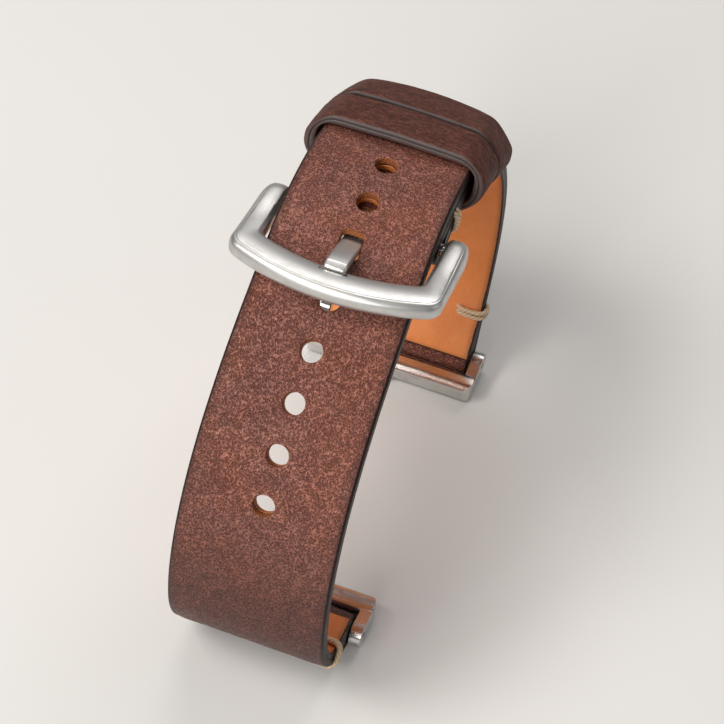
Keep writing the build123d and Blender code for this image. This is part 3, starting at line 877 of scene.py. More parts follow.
def frame_outlines():
    """Outer and inner outlines of the frame, from one arm's end to the other's."""
    corner_level = front_outer - front_bow
    front_half = half_opening + arm_width_front
    eye_half = half_opening + arm_width_eye
    bow = arc_through(front_half, corner_level, front_outer, 61)
    arm = np.linspace(0, 1, 30)[:, None]
    arm_start, arm_end = np.array([-eye_half, -eye_radius]), np.array([-front_half, corner_level])
    left_arm = arm_start * (1 - arm) + arm_end * arm
    right_arm = left_arm[::-1] * [-1, 1]
    outer = np.concatenate([left_arm[:-1], bow, right_arm[1:]])
    outer = rounded_corner(outer, len(left_arm) - 1, outer_corner)
    outer = rounded_corner(outer[::-1], len(right_arm) - 1, outer_corner)[::-1]
    inner_level = front_outer - front_depth - inner_bow
    inside_bow = arc_through(half_opening, inner_level, front_outer - front_depth, 61)
    inside_start = np.array([-half_opening, -eye_radius])
    inside_arm = inside_start * (1 - arm) + np.array([-half_opening, inner_level]) * arm
    inner = np.concatenate([inside_arm[:-1], inside_bow, (inside_arm[::-1] * [-1, 1])[1:]])
    inner = rounded_corner(inner, len(inside_arm) - 1, inner_corner)
    inner = rounded_corner(inner[::-1], len(inside_arm) - 1, inner_corner)[::-1]
    return outer, inner


def even_outline(line, marks_line, marks):
    """Points of an outline at the given shares of its key distances."""
    return np.column_stack([np.interp(marks, marks_line, line[:, k]) for k in (0, 1)])


def frame_section():
    """Frame section: place from the inner or outer edge, and height above the middle."""
    h = frame_half_thickness
    inner = [
        (0.0, -0.35), (0.0, h - 0.95), (0.03, h - 0.80), (0.11, h - 0.66), (0.24, h - 0.55),
        (0.42, h - 0.47),
    ]
    points = [("in", place, rise) for place, rise in inner]
    for share in (0.14, 0.20, 0.28, 0.36, 0.44, 0.52, 0.60, 0.68, 0.76):
        points.append(("mid", share, h - 1.5 * (share - 0.52) ** 2))
    outer = [
        (0.90, h - 0.135), (0.83, h - 0.160), (0.79, h - 0.200), (0.75, h - 0.205), (0.70, h - 0.200),
        (0.56, h - 0.26), (0.42, h - 0.34), (0.30, h - 0.44), (0.19, h - 0.57), (0.10, h - 0.73),
        (0.04, h - 0.92), (0.0, h - 1.15), (0.0, -h + 0.85), (0.04, -h + 0.55), (0.14, -h + 0.28),
        (0.32, -h + 0.09), (0.55, -h + 0.01), (0.8, -h),
    ]
    points += [("out", place, rise) for place, rise in outer]
    points.append(("mid", 0.5, -h))
    under = [(0.6, -h), (0.3, -h + 0.06), (0.1, -h + 0.22), (0.0, -h + 0.5)]
    points += [("in", place, rise) for place, rise in under]
    return points


def frame_stations():
    """Matching inner and outer points round the frame."""
    outer, inner = frame_outlines()
    outer_length, inner_length = walked(outer), walked(inner)
    outer_key = outer_length[np.argmax(-outer[:, 0] + outer[:, 1])]
    inner_key = inner_length[np.argmax(-inner[:, 0] + inner[:, 1])]
    arm = np.concatenate([np.linspace(0, 0.22, 16), np.linspace(0.22, 1, 30)[1:]])
    half_front = np.concatenate([np.linspace(0, 0.30, 16)[1:], np.linspace(0.30, 0.82, 16)[1:]])
    half_front = np.concatenate([half_front, [0.88, 0.94, 1.0]])

    def spread(key, total):
        left = np.concatenate([arm * key, key + (total / 2 - key) * half_front])
        return np.concatenate([left, (total - left)[::-1][1:]])

    outside = even_outline(outer, outer_length, spread(outer_key, outer_length[-1]))
    inside = even_outline(inner, inner_length, spread(inner_key, inner_length[-1]))
    return outside, inside


eye_swell = 0.42
eye_swell_levels = (7.5, 0.3)
nose_start, nose_power, nose_least = 0.9, 2.4, 0.04
narrow_start, narrowing = 1.6, 0.34
notch_start, notch_top, notch_edge = 8.0, 3.0, 0.12


def past_level(level, start):
    """How far a level is on its way from a start to the end of the eye, from 0 to 1."""
    return min(max((start - level) / (start + eye_radius), 0.0), 1.0)


def frame_height(level):
    """Half height of an arm at a level out from the bar: round eye, then a long soft fall."""
    arm = frame_half_thickness + eye_swell * float(smooth_step(*eye_swell_levels, level))
    return arm * max(sqrt(1 - past_level(level, nose_start) ** nose_power), nose_least)


def box_cutter(low, high):
    """Box between two corners given in the buckle's own frame."""
    grid = bmesh.new()
    bmesh.ops.create_cube(grid, size=1.0)
    for vertex in grid.verts:
        local = [low[k] + (high[k] - low[k]) * (vertex.co[k] + 0.5) for k in range(3)]
        vertex.co = Vector(frame_place([local])[0] * mm)
    mesh = bpy.data.meshes.new("notch_cutter")
    bmesh.ops.recalc_face_normals(grid, faces=grid.faces)
    grid.to_mesh(mesh)
    grid.free()
    return put_in_scene("notch_cutter", mesh)


def settle(piece):
    """Turns a piece's modifiers into its own mesh."""
    view = bpy.context.evaluated_depsgraph_get()
    made = bpy.data.meshes.new_from_object(piece.evaluated_get(view), depsgraph=view)
    old = piece.data
    piece.modifiers.clear()
    piece.data = made
    bpy.data.meshes.remove(old)


def cut(piece, cutter, edge_width):
    """Cuts a box out of a piece and softens the new edges."""
    knife = piece.modifiers.new("notch", "BOOLEAN")
    knife.operation = "DIFFERENCE"
    knife.solver = "EXACT"
    knife.object = cutter
    settle(piece)
    bpy.data.objects.remove(cutter)
    soft = piece.modifiers.new("soft_edges", "BEVEL")
    soft.width = edge_width * mm
    soft.segments = 2
    soft.limit_method = "ANGLE"
    soft.angle_limit = radians(50)
    settle(piece)
    piece.data.shade_smooth()


def buckle_frame(material):
    """Domed frame on the bar's two ears, with a notch for the tongue."""
    outside, inside = frame_stations()
    section = frame_section()
    vertices, marks = [], []
    length = walked((outside + inside) / 2)
    for k, (out_point, in_point) in enumerate(zip(outside, inside)):
        across = out_point - in_point
        width = np.linalg.norm(across)
        level = (out_point[1] + in_point[1]) / 2
        scale = frame_height(level) / frame_half_thickness
        narrow = narrowing * (1 - sqrt(1 - past_level(level, narrow_start) ** 2 * 0.98))
        for kind, place, rise in section:
            if kind == "in":
                share = place / width
            elif kind == "out":
                share = 1 - place / width
            else:
                share = place
            share = share * (1 - narrow)
            x, y = in_point + across * share
            vertices.append((x, y, rise * scale))
            marks.append((length[k], share * width, rise))
    faces = ring_faces(len(outside), len(section), False)
    piece = make_piece(
        "buckle_frame_body", frame_place(vertices), faces, {"sheet": marks}, "buckle", "buckle_steel",
        ["buckle_frame"], material,
    )
    notch_half = tongue_half_width + notch_play
    notch_floor = tongue_level - tongue_thickness / 2 - 0.03
    notch_end = tongue_end + notch_play
    notch = box_cutter((-notch_half, notch_start, notch_floor), (notch_half, notch_end, notch_top))
    cut(piece, notch, notch_edge)


def tongue(material):
    """Flat strip with a ring round the bar, a soft knee and a bevelled tip."""
    ring_middle = ring_bore + tongue_thickness / 2
    root = np.array([sqrt(ring_middle**2 - tongue_root_drop**2), -tongue_root_drop])
    knee = np.array([tongue_end - tongue_tip_length, tongue_level])
    tip = np.array([tongue_end, tongue_level])
    line = [root + (knee - root) * share for share in np.linspace(0, knee_start, 26)]
    a, b = line[-1], knee + (tip - knee) * knee_finish
    for share in np.linspace(0, 1, 10)[1:]:
        line.append(a * (1 - share) ** 2 + knee * 2 * share * (1 - share) + b * share**2)
    for share in (0.48, 0.54, 0.60, 0.68, 0.76, 0.84, 0.90, 0.95, 0.98, 1.0):
        line.append(knee + (tip - knee) * share)
    line = np.array(line)
    step = np.gradient(line, axis=0)
    step /= np.linalg.norm(step, axis=1)[:, None]
    up = np.column_stack([-step[:, 1], step[:, 0]])
    half, thick, bevel = tongue_half_width, tongue_thickness / 2, tongue_bevel
    corner = [
        (half - bevel, thick), (half - bevel * 0.55, thick - bevel * 0.10),
        (half - 0.04, thick - bevel * 0.62), (half, thick - bevel),
    ]
    outline = [
        (-half + bevel, thick), (-half / 2, thick + 0.03), (0, thick + 0.04), (half / 2, thick + 0.03),
    ]
    outline += corner + [(x, -z) for x, z in corner[::-1]] + [(0, -thick)]
    outline += [(-x, -z) for x, z in corner] + [(-x, z) for x, z in corner[:0:-1]]
    vertices, marks = [], []
    length = walked(line)
    for k, place in enumerate(line):
        left = length[-1] - length[k]
        round_off = 1 - sqrt(max(1 - (1 - min(left / tip_round_length, 1)) ** 2, 0))
        slope = max(tip_bevel_length - left, 0) * tip_bevel_slope
        for x, z in outline:
            side = np.sign(x) * max(abs(x) - tip_round_side * round_off, 0)
            lowered = tip_round_height * round_off
            rise = np.sign(z) * max(abs(z) - lowered - (slope if z > 0 else 0), 0)
            spot_yz = place + up[k] * rise
            vertices.append((side, spot_yz[0], spot_yz[1]))
            marks.append((length[k], x, z))
    faces = ring_faces(len(line), len(outline), False)
    base = len(vertices)
    ring = [(-half, ring_bore), (-half, ring_shoulder), (-half + ring_edge, ring_outside)]
    ring += [(-x, radius) for x, radius in ring[::-1]]
    for k in range(ring_sides):
        turn = 2 * pi * k / ring_sides
        for x, radius in ring:
            vertices.append((x, radius * cos(turn), radius * sin(turn)))
            marks.append((radius * turn, x, radius))
    faces += ring_faces(ring_sides, len(ring), True, base)
    piece = make_piece(
        "buckle_tongue_strip", frame_place(vertices), faces, {"sheet": marks}, "tongue", "buckle_steel",
        ["buckle_tongue"], material,
    )
    edges = piece.modifiers.new("edges", "EDGE_SPLIT")
    edges.split_angle = radians(60)


# Thread

thread_radius = 0.35
stitch_inset = 3.6
strand_pitch = 0.74
stitch_overhang = 0.06
stitch_corner = 1.15
lug_stitch_share = 0.65
buckle_stitch_share = 0.55


def depth_on_rail(rail, point):
    """Distance of a point inside a rail, with the outward angle there."""
    found = []
    for kind, length, bend in rail_runs(rail):
        if kind == "bend":
            reach = point - bend.centre
            angle = degrees(atan2(reach[1], reach[0])) % 360
            for turn in (angle, angle - 360):
                if bend.end - 1e-6 <= turn <= bend.start + 1e-6:
                    found.append((bend.radius - np.linalg.norm(reach), turn))
        else:
            outward, forward = heading(bend.start), heading(bend.start - 90)
            back = spot(bend, bend.start) - point
            if 0 <= back @ forward <= length:
                found.append((float(back @ outward), bend.start))
    return min(found)


plies = 3
tube_sides = 18
turns_per_mm = 0.55
ply_depth = 0.20


def twisted_tube(path, radius, phase):
    """Closed tube of three twisted plies along a closed path in space."""
    count, sides = len(path), tube_sides
    ahead = np.roll(path, -1, 0) - np.roll(path, 1, 0)
    ahead /= np.linalg.norm(ahead, axis=1)[:, None]
    flat = np.cross(path[0] - path[count // 3], path[1] - path[0])
    flat /= np.linalg.norm(flat)
    distance = np.concatenate([[0], np.cumsum(np.linalg.norm(np.diff(path, axis=0), axis=1))])
    total = distance[-1] + np.linalg.norm(path[0] - path[-1])
    whole_turns = round(total * turns_per_mm * plies) / plies
    vertices, marks = [], []
    for k in range(count):
        side = np.cross(ahead[k], flat)
        side /= np.linalg.norm(side)
        lift = np.cross(side, ahead[k])
        twist = 2 * pi * whole_turns * distance[k] / total + phase
        for m in range(sides):
            turn = 2 * pi * m / sides
            lobe = abs(cos(plies / 2 * (turn - twist)))
            reach = radius * (1 - ply_depth + ply_depth * sqrt(lobe))
            vertices.append(path[k] + (side * cos(turn) + lift * sin(turn)) * reach)
            marks.append((distance[k], turn - twist, lobe))
    return vertices, ring_faces(count, sides, True), marks


def stitch(name, rail, line, share, hand, sink, half_width, material):
    """Two strands of thread round the strap's edge."""
    place = share * (len(line) - 1)
    before, after = line[int(place)], line[int(place) + 1]
    inner_point = before + (after - before) * (place % 1)
    depth, angle = depth_on_rail(rail, inner_point)
    outer_point = inner_point + heading(angle) * depth
    reach = float(half_width(outer_point))
    along, out = heading(angle - 90), heading(angle)
    left, right = reach - stitch_inset, reach + thread_radius + stitch_overhang
    top, bottom = thread_radius + stitch_overhang - sink, -depth - thread_radius - stitch_overhang
    vertices, faces, marks = [], [], []
    for row in (-1, 1):
        corner = min(stitch_corner, (top - bottom) / 2 - 0.02)
        points, _ = rounded_rectangle((right - left) / 2, bottom, top, corner, 16, 12)
        shift = row * strand_pitch / 2
        path = []
        for x, z in points:
            fan = 1 + 0.10 * sin(x * 1.3 + row)
            base = outer_point + along * shift * fan + out * z
            path.append((hand * (x + (left + right) / 2), base[0], base[1]))
        tube, tube_faces, tube_marks = twisted_tube(np.array(path), thread_radius, row)
        start = len(vertices)
        vertices.extend(tube)
        marks.extend(tube_marks)
        faces.extend(tuple(start + k for k in face) for face in tube_faces)
    marks = {"sheet": marks}
    make_piece(f"{name}_thread", vertices, faces, marks, "strap_loop", "thread", [name], material)


def stitches(material):
    lower = turned_line(long_rail, lower_pin, 1, lug_turned_length, lining_drop)
    upper = turned_line(short_rail, upper_pin, -1, lug_turned_length, lining_drop)
    buckle = turned_line(short_rail, bar_centre, 1, buckle_turned_length, lining_drop)
    sunk = thread_radius + stitch_overhang
    for side, hand in (("right", 1), ("left", -1)):
        for end, rail, line, share, sink, width in (
            ("lower", long_rail, lower, lug_stitch_share, sunk, long_width),
            ("upper", short_rail, upper, lug_stitch_share, sunk, short_width),
            ("buckle", short_rail, buckle, buckle_stitch_share, 2 * sunk, short_width),
        ):
            stitch(f"{end}_stitch_{side}", rail, line, share, hand, sink, width, material)


# Materials


class Finish:
    """A procedural material, built node by node."""

    def __init__(self, name, colour, roughness, metallic=0.0, specular=0.5):
        self.material = bpy.data.materials.new(name)
        self.material.use_nodes = True
        self.tree = self.material.node_tree
        self.shader = self.tree.nodes["Principled BSDF"]
        self.set("Base Color", colour)
        self.set("Roughness", roughness)
        self.set("Metallic", metallic)
        self.set("Specular IOR Level", specular)

    def set(self, socket, value):
        """A value, or another node's output, on one of the shader's sockets."""
        self.give(self.shader.inputs[socket], value)

    def give(self, socket, value):
        if isinstance(value, bpy.types.NodeSocket):
            self.tree.links.new(value, socket)
        elif isinstance(value, (tuple, list)) and len(value) == 3 and socket.type == "RGBA":
            socket.default_value = (*value, 1.0)
        else:
            socket.default_value = value

    def node(self, kind, output=0, settings=None, **inputs):
        made = self.tree.nodes.new(kind)
        for key, value in (settings or {}).items():
            setattr(made, key, value)
        for key, value in inputs.items():
            self.give(made.inputs[key.replace("_", " ")], value)
        return made.outputs[output]

    def mark(self, name, output="Fac"):
        return self.node("ShaderNodeAttribute", output, {"attribute_name": name})

    def marks(self):
        """The mesh's own marks: place on the sheet, way to the edge, raw or grooved share."""
        return self.mark("sheet", "Vector"), self.mark("edge"), self.mark("raw")

    def scaled(self, vector, x, y, z, shift=(0.0, 0.0, 0.0)):
        return self.node("ShaderNodeMapping", 0, Vector=vector, Scale=(x, y, z), Location=shift)

    def noise(self, vector, scale, detail=3.0, roughness=0.55, distortion=0.0):
        return self.node(
            "ShaderNodeTexNoise", 0, Vector=vector, Scale=scale, Detail=detail, Roughness=roughness,
            Distortion=distortion,
        )

    def cells(self, vector, feature="F1"):
        return self.node(
            "ShaderNodeTexVoronoi", "Distance", {"feature": feature}, Vector=vector, Scale=1.0,
        )

    def warped(self, base, place, scale, reach):
        """A vector moved about by noise, by up to half a reach each way."""
        noise_colour = self.node("ShaderNodeTexNoise", "Color", Vector=place, Scale=scale, Detail=2.0)
        moved = self.node("ShaderNodeVectorMath", 0, {"operation": "MULTIPLY_ADD"})
        for socket, item in zip(moved.node.inputs, (noise_colour, reach, base)):
            self.give(socket, item)
        return moved

    def times(self, first, second):
        return self.math("MULTIPLY", first, second)

    def centred(self, value, amount):
        """A 0 to 1 value as a push of up to half an amount each way."""
        return self.times(self.math("SUBTRACT", value, 0.5), amount)

    def summed(self, *values):
        total = values[0]
        for value in values[1:]:
            total = self.math("ADD", total, value)
        return total

    def range(self, value, low, high, to_low=0.0, to_high=1.0, soft=True):
        made = self.tree.nodes.new("ShaderNodeMapRange")
        made.interpolation_type = "SMOOTHSTEP" if soft else "LINEAR"
        for socket, item in zip(made.inputs[:5], (value, low, high, to_low, to_high)):
            self.give(socket, item)
        return made.outputs[0]

    def math(self, operation, first, second):
        made = self.tree.nodes.new("ShaderNodeMath")
        made.operation = operation
        self.give(made.inputs[0], first)
        self.give(made.inputs[1], second)
        return made.outputs[0]

    def mix(self, share, first, second, blend="MIX"):
        made = self.tree.nodes.new("ShaderNodeMix")
        made.data_type = "RGBA"
        made.blend_type = blend
        self.give(made.inputs["Factor"], share)
        self.give(made.inputs[6], first)
        self.give(made.inputs[7], second)
        return made.outputs[2]

    def bump(self, height, distance, strength):
        return self.node("ShaderNodeBump", 0, Height=height, Distance=distance * mm, Strength=strength)


def grey(value):
    return (value, value, value)


def strap_finish():
    """Pebbled red-brown leather with dark pores, pale ridges and a dark painted edge."""
    finish = Finish("strap_leather", (0.2, 0.08, 0.06), 0.5, 0.0, 0.34)
    place, edge, raw = finish.marks()
    bent = finish.warped(place, place, 0.9, (0.55, 0.55, 0.0))
    rippled = finish.warped(bent, place, 3.4, (0.24, 0.19, 0.0))
    pebbles = finish.scaled(rippled, 3.3, 4.2, 1.5)
    pores = finish.cells(pebbles)
    ridges = finish.cells(pebbles, "DISTANCE_TO_EDGE")
    fine = finish.noise(place, 6.0, 4.0, 0.6)
    ragged = finish.centred(fine, 0.42)
    creases = finish.noise(finish.scaled(bent, 3.6, 0.9, 1.0), 1.0, 3.0, 0.65)
    crease_share = finish.range(finish.noise(place, 0.09, 2.0), 0.35, 0.65, 0.10, 0.60)
    patches = finish.noise(place, 0.085, 3.0, 0.5, 0.6)
    clouds = finish.noise(place, 0.42, 4.0, 0.6)
    ridge = finish.range(finish.summed(ridges, ragged), -0.02, 0.26, 1.0, 0.0)
    pit = finish.range(finish.summed(pores, ragged), 0.10, 0.72, 0.0, 1.0)
    streaky = finish.centred(creases, crease_share)
    lift = finish.summed(
        finish.times(pit, 0.45), finish.times(ridge, 0.55),
        finish.times(streaky, 1.2),
    )
    ground = finish.range(lift, 0.10, 1.0, 0.0, 1.0, False)
    tone = finish.mix(finish.math("POWER", ground, 1.5), (0.098, 0.026, 0.016), (0.325, 0.126, 0.090))
    dark = finish.range(patches, 0.36, 0.62, 0.62, 1.12)
    tone = finish.mix(1.0, tone, finish.mix(dark, (0.66, 0.60, 0.62), grey(1.0)), "MULTIPLY")
    elsewhere = finish.scaled(place, 1.0, 1.0, 1.0, (31, 7, 0))
    warm = finish.range(finish.noise(elsewhere, 0.11, 3.0), 0.42, 0.66)
    tone = finish.mix(warm, tone, finish.mix(1.0, tone, (1.05, 0.95, 0.84), "MULTIPLY"))
    cloudy = finish.range(clouds, 0.3, 0.7, 0.0, 1.0)
    tone = finish.mix(1.0, tone, finish.mix(cloudy, (0.82, 0.78, 0.78), (1.08, 1.10, 1.10)), "MULTIPLY")
    # Painted shade: the colour darkens towards the start of each strap's length. It is fully dark up to
    # about 22 mm past the fold and gone by about 52 mm, with a cloudy border. This darkens the lower
    # part of the long strap, and the short strap near the buckle as well.
    along = finish.node("ShaderNodeSeparateXYZ", 0, Vector=place)
    painted_low_shade = finish.summed(along, finish.times(clouds, 8.0))
    painted_low_shade = finish.range(painted_low_shade, 22.0, 52.0, 0.92, 0.0)
    tone = finish.mix(painted_low_shade, tone, finish.mix(1.0, tone, (0.40, 0.22, 0.16), "MULTIPLY"))
    rim = finish.summed(edge, finish.centred(finish.noise(place, 2.2, 3.0), 0.35))
    burnt = finish.range(rim, 0.2, 1.5, 0.55, 0.0)
    tone = finish.mix(burnt, tone, (0.050, 0.018, 0.013))
    painted = finish.range(rim, 0.16, 0.40, 1.0, 0.0)
    paint_tone = finish.mix(finish.noise(place, 1.4, 3.0), (0.008, 0.004, 0.003), (0.026, 0.012, 0.009))
    tone = finish.mix(painted, tone, paint_tone)
    fibres = finish.noise(finish.scaled(place, 6.0, 6.0, 2.2), 1.0, 4.0, 0.7)
    raw_tone = finish.mix(fibres, (0.11, 0.026, 0.007), (0.46, 0.145, 0.038))
    tone = finish.mix(finish.range(raw, 0.25, 0.9), tone, raw_tone)
    finish.set("Base Color", tone)
    shine = finish.range(ground, 0.0, 1.0, 0.60, 0.36)
    shine = finish.summed(shine, finish.centred(clouds, 0.12))
    shine = finish.mix(painted, shine, grey(0.42))
    finish.set("Roughness", finish.mix(raw, shine, grey(0.8)))
    finish.set("Specular IOR Level", finish.range(painted, 0.0, 1.0, 0.45, 0.16))
    height = finish.times(lift, finish.range(painted, 0.0, 1.0, 1.0, 0.10))
    height = finish.summed(height, finish.times(fine, 0.25))
    finish.set("Normal", finish.bump(height, 0.13, 1.0))
    return finish.material


def lining_finish():
    """Smooth tan lining leather with faint grain, dark painted sides and a soft sheen."""
    finish = Finish("lining_leather", (0.5, 0.2, 0.07), 0.5, 0.0, 0.4)
    place, edge, raw = finish.marks()
    clouds = finish.noise(place, 0.16, 4.0, 0.55, 0.4)
    grain = finish.cells(finish.scaled(place, 2.6, 3.0, 1.0))
    fine = finish.noise(place, 6.0, 4.0, 0.6)
    streaks = finish.noise(finish.scaled(place, 0.5, 3.2, 1.0), 1.0, 4.0, 0.6)
    tone = finish.mix(clouds, (0.560, 0.150, 0.030), (0.800, 0.270, 0.070))
    tone = finish.mix(finish.range(grain, 0.05, 0.35, 0.30, 0.0), tone, (0.260, 0.070, 0.016))
    tone = finish.mix(finish.range(streaks, 0.45, 0.75, 0.0, 0.30), tone, (0.68, 0.30, 0.12))
    rim = finish.summed(edge, finish.centred(finish.noise(place, 2.0, 3.0), 0.3))
    tone = finish.mix(finish.range(rim, 0.2, 1.1, 0.45, 0.0), tone, (0.12, 0.035, 0.014))
    painted = finish.range(rim, 0.10, 0.32, 1.0, 0.0)
    tone = finish.mix(painted, tone, (0.020, 0.010, 0.008))
    fibres = finish.noise(finish.scaled(place, 6.0, 6.0, 2.2), 1.0, 4.0, 0.7)
    tone = finish.mix(raw, tone, finish.mix(fibres, (0.20, 0.050, 0.012), (0.58, 0.20, 0.06)))
    finish.set("Base Color", tone)
    shine = finish.range(clouds, 0.2, 0.8, 0.56, 0.42)
    finish.set("Roughness", finish.mix(painted, shine, grey(0.42)))
    finish.set("Specular IOR Level", finish.range(painted, 0.0, 1.0, 0.40, 0.16))
    height = finish.summed(finish.range(grain, 0.05, 0.4), finish.times(fine, 0.8))
    finish.set("Normal", finish.bump(height, 0.014, 0.8))
    return finish.material


def keeper_finish():
    """Matt brown keeper leather with fine scratches, and a grey-brown glazed edge."""
    finish = Finish("keeper_leather", (0.08, 0.03, 0.02), 0.6, 0.0, 0.20)
    place, edge, groove = finish.marks()
    nap = finish.noise(finish.scaled(place, 0.9, 2.6, 1.0), 1.0, 5.0, 0.75, 0.5)
    scratches = finish.noise(finish.scaled(place, 0.28, 2.4, 1.0), 1.0, 5.0, 0.75)
    clouds = finish.noise(place, 0.22, 3.0, 0.55)
    dots = finish.cells(finish.scaled(place, 1.7, 2.5, 1.0))
    tone = finish.mix(clouds, (0.034, 0.009, 0.006), (0.078, 0.023, 0.015))
    tone = finish.mix(finish.range(nap, 0.45, 0.66, 0.0, 0.85), tone, (0.160, 0.054, 0.036))
    tone = finish.mix(finish.range(dots, 0.12, 0.40, 0.75, 0.0), tone, (0.020, 0.006, 0.004))
    tone = finish.mix(finish.range(scratches, 0.55, 0.68, 0.0, 0.65), tone, (0.200, 0.076, 0.054))
    glazed = finish.range(edge, 0.35, 0.85)
    sheen_spots = finish.noise(finish.scaled(place, 0.8, 2.0, 2.0), 1.0, 3.0)
    glaze = finish.mix(sheen_spots, (0.052, 0.036, 0.034), (0.098, 0.074, 0.070))
    glaze = finish.mix(finish.range(groove, 0.2, 0.9), glaze, (0.010, 0.006, 0.005))
    finish.set("Base Color", finish.mix(glazed, tone, glaze))
    finish.set("Roughness", finish.mix(glazed, grey(0.66), grey(0.30)))
    height = finish.summed(
        nap, finish.times(finish.range(dots, 0.05, 0.35), 0.7),
        finish.times(scratches, 0.7),
    )
    height = finish.times(height, finish.range(glazed, 0.0, 1.0, 1.0, 0.12))
    finish.set("Normal", finish.bump(height, 0.030, 0.8))
    return finish.material


def metal_finish(name, place_mark, along, across, tone, roughness, depth):
    """Brushed metal: fine lines along one direction, soft stains and tiny nicks."""
    finish = Finish(name, tone, roughness, 1.0, 0.5)
    if place_mark:
        place = finish.mark("sheet", "Vector")
    else:
        place = finish.scaled(finish.node("ShaderNodeTexCoord", 3), 1 / mm, 1 / mm, 1 / mm)
    lines = finish.noise(finish.scaled(place, along, across, across), 1.0, 5.0, 0.75)
    broad = finish.noise(finish.scaled(place, along * 2.5, across / 7, across / 7), 1.0, 3.0, 0.6)
    stains = finish.noise(place, 0.35, 4.0, 0.6)
    nicks = finish.cells(finish.scaled(place, 0.9, 1.6, 1.6))
    deeper = tuple(c * 0.80 + warm for c, warm in zip(tone, (0.02, 0.01, 0.0)))
    base = finish.mix(finish.range(stains, 0.35, 0.75), tone, deeper)
    base = finish.mix(finish.range(lines, 0.30, 0.70, 0.35, 0.0), base, tuple(c * 0.62 for c in tone))
    base = finish.mix(finish.range(nicks, 0.02, 0.07, 0.4, 0.0), base, tuple(c * 0.5 for c in tone))
    finish.set("Base Color", base)
    shine = finish.range(lines, 0.25, 0.75, roughness + 0.09, roughness - 0.07, False)
    shine = finish.summed(shine, finish.range(stains, 0.3, 0.8, -0.03, 0.07))
    finish.set("Roughness", shine)
    height = finish.summed(lines, finish.times(broad, 0.6))
    finish.set("Normal", finish.bump(height, depth, 0.6))
    return finish.material


def thread_finish():
    """Waxed cream thread: painted shade between its plies, with fine fibres."""
    finish = Finish("waxed_thread", (0.6, 0.45, 0.3), 0.55, 0.0, 0.4)
    place = finish.mark("sheet", "Vector")
    lobe = finish.node("ShaderNodeSeparateXYZ", 2, Vector=place)
    fibres = finish.noise(finish.scaled(place, 1.2, 5.0, 0.0), 1.0, 4.0, 0.7)
    tone = finish.mix(fibres, (0.50, 0.335, 0.185), (0.76, 0.60, 0.42))
    # Painted shade: the colour goes dark brown in the hollows between the thread's plies.
    tone = finish.mix(finish.range(lobe, 0.0, 0.55, 0.85, 0.0), tone, (0.16, 0.080, 0.035))
    finish.set("Base Color", tone)
    finish.set("Roughness", finish.range(fibres, 0.3, 0.7, 0.62, 0.42))
    height = finish.summed(lobe, finish.times(fibres, 0.5))
    finish.set("Normal", finish.bump(height, 0.03, 0.6))
    return finish.material


# Stage


def floor_finish():
    """Plain pale paint."""
    finish = Finish("floor_paint", (0.72, 0.70, 0.68), 0.6, 0.0, 0.3)
    place = finish.node("ShaderNodeTexCoord", 3)
    clouds = finish.noise(place, 9.0, 4.0)
    finish.set("Base Color", finish.mix(clouds, (0.60, 0.585, 0.565), (0.64, 0.625, 0.605)))
    finish.set("Normal", finish.bump(finish.noise(place, 900.0, 3.0), 0.02, 0.3))
    return finish.material


def make_floor():
    """Large plain floor."""
    grid = bmesh.new()
    reach = np.linspace(-3.0, 3.0, 13)
    rows = [[grid.verts.new((x, y, -0.00005)) for x in reach] for y in reach]
    for first, second in zip(rows, rows[1:]):
        for k in range(len(first) - 1):
            grid.faces.new((first[k], first[k + 1], second[k + 1], second[k]))
    mesh = bpy.data.meshes.new("studio_floor")
    grid.to_mesh(mesh)
    grid.free()
    mesh.shade_smooth()
    floor = put_in_scene("studio_floor", mesh)
    mesh.materials.append(floor_finish())


def add_light(name, place, target, size, power, colour):
    light = bpy.data.lights.new(name, "AREA")
    light.shape = "RECTANGLE"
    light.size, light.size_y = size
    light.energy = power
    light.color = colour
    lamp = put_in_scene(name, light)
    lamp.location = place
    lamp.rotation_euler = (Vector(target) - Vector(place)).to_track_quat("-Z", "Y").to_euler()


def light_stage():
    """Five soft area lights in a dim pale surround."""
    middle = (0.0, 0.0, 0.035)
    for name, place, size, power, colour in (
        ("key", (-0.32, -0.24, 0.62), (0.30, 0.30), 3.4, (1.0, 0.975, 0.94)),
        ("sheen", (-0.14, -0.52, 0.58), (0.26, 0.26), 1.5, (1.0, 0.98, 0.95)),
        ("front", (-0.10, -0.80, 0.40), (0.60, 0.20), 3.2, (1.0, 0.99, 0.97)),
        ("fill", (0.60, 0.10, 0.35), (0.40, 0.40), 0.35, (0.95, 0.97, 1.0)),
        ("back", (-0.05, 0.46, 0.56), (0.60, 0.28), 2.3, (1.0, 0.98, 0.96)),
    ):
        add_light(f"{name}_softbox", place, middle, size, power, colour)
    world = bpy.data.worlds.new("studio_air")
    world.use_nodes = True
    air = world.node_tree.nodes["Background"].inputs
    air["Color"].default_value = (0.90, 0.92, 0.95, 1.0)
    air["Strength"].default_value = 0.17
    scene = bpy.context.scene
    scene.world = world
    scene.view_settings.view_transform = "Standard"
    scene.view_settings.look = "None"
    scene.view_settings.exposure = 0.0


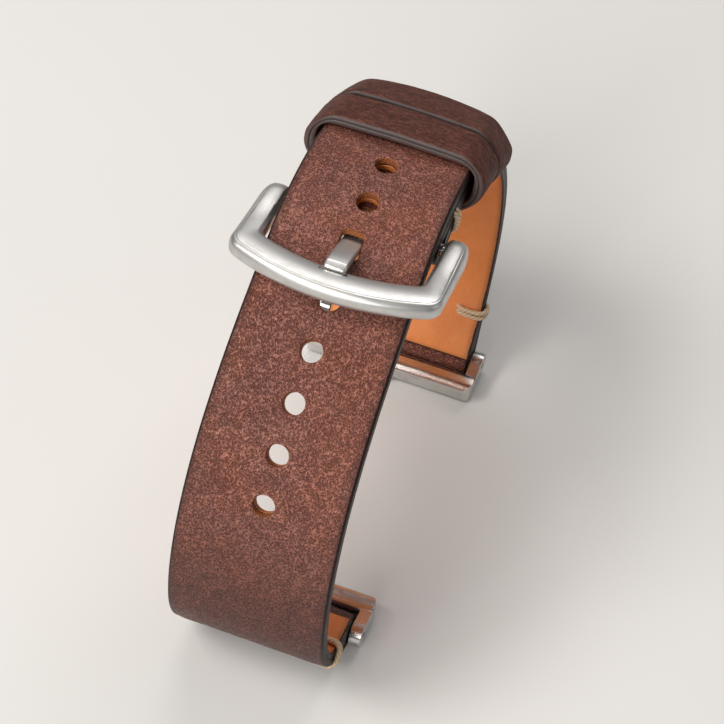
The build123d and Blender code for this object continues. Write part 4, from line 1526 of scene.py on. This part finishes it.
def make_camera():
    """The photograph's view, for a square picture."""
    camera = bpy.data.cameras.new("photo_camera")
    camera.lens = 146.19
    camera.sensor_width = 36.0
    camera.clip_start = 0.01
    holder = put_in_scene("photo_camera", camera)
    right, up = (0.93548, 0.34849, 0.05858), (-0.31167, 0.73551, 0.60157)
    back, place = (0.16656, -0.58102, 0.79667), (0.0680, -0.2298, 0.3454)
    rows = [(right[k], up[k], back[k], place[k]) for k in range(3)] + [(0, 0, 0, 1)]
    holder.matrix_world = Matrix(rows)
    bpy.context.scene.camera = holder


# Making


def dress_cad(names, material):
    """Gives kept CAD pieces their material."""
    for name in names:
        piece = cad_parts[name]
        piece.data.materials.clear()
        piece.data.materials.append(material)
        piece.data.shade_smooth()
        split = piece.modifiers.new("crisp_edges", "EDGE_SPLIT")
        split.split_angle = radians(35)


def main():
    make_camera()
    light_stage()
    make_floor()
    strap, lining = strap_finish(), lining_finish()
    long_leather(strap)
    long_lining(lining)
    short_leather(strap)
    short_lining(lining)
    looped = keeper_finish()
    free_keeper_start = fixed_keeper_start + keeper_width + keeper_gap
    keeper(
        "fixed_keeper", fixed_keeper_start, rise=0.1, tilt=0.0, skew=0.0, droop=0.2,
        body="strap_loop", material=looped,
    )
    keeper(
        "free_keeper", free_keeper_start, rise=0.7, tilt=8.0, skew=-1.2, droop=1.0,
        body="free_keeper", material=looped,
    )
    satin = metal_finish(
        "buckle_satin_steel", True, along=0.10, across=9.0, tone=(0.66, 0.65, 0.635), roughness=0.40,
        depth=0.005,
    )
    buckle_frame(satin)
    tongue(satin)
    stitches(thread_finish())
    silver = metal_finish(
        "adapter_silver", False, along=0.35, across=7.0, tone=(0.70, 0.69, 0.67), roughness=0.20,
        depth=0.003,
    )
    dress_cad(["lower_adapter", "upper_adapter"], silver)
    polished = metal_finish(
        "bar_polished_steel", False, along=5.0, across=0.5, tone=(0.62, 0.61, 0.60), roughness=0.16,
        depth=0.002,
    )
    bars = ["buckle_bar", "lower_pin", "upper_pin"]
    dress_cad([f"{bar}_{part}" for bar in bars for part in ("tube", "tip_left", "tip_right")], polished)
    dress_cad(["lower_detent_button", "upper_detent_button"], polished)
    sprung = metal_finish(
        "spring_wire", False, along=4.0, across=1.2, tone=(0.50, 0.50, 0.51), roughness=0.28,
        depth=0.002,
    )
    dress_cad([f"{bar}_spring" for bar in bars] + ["lower_detent_spring", "upper_detent_spring"], sprung)


main()
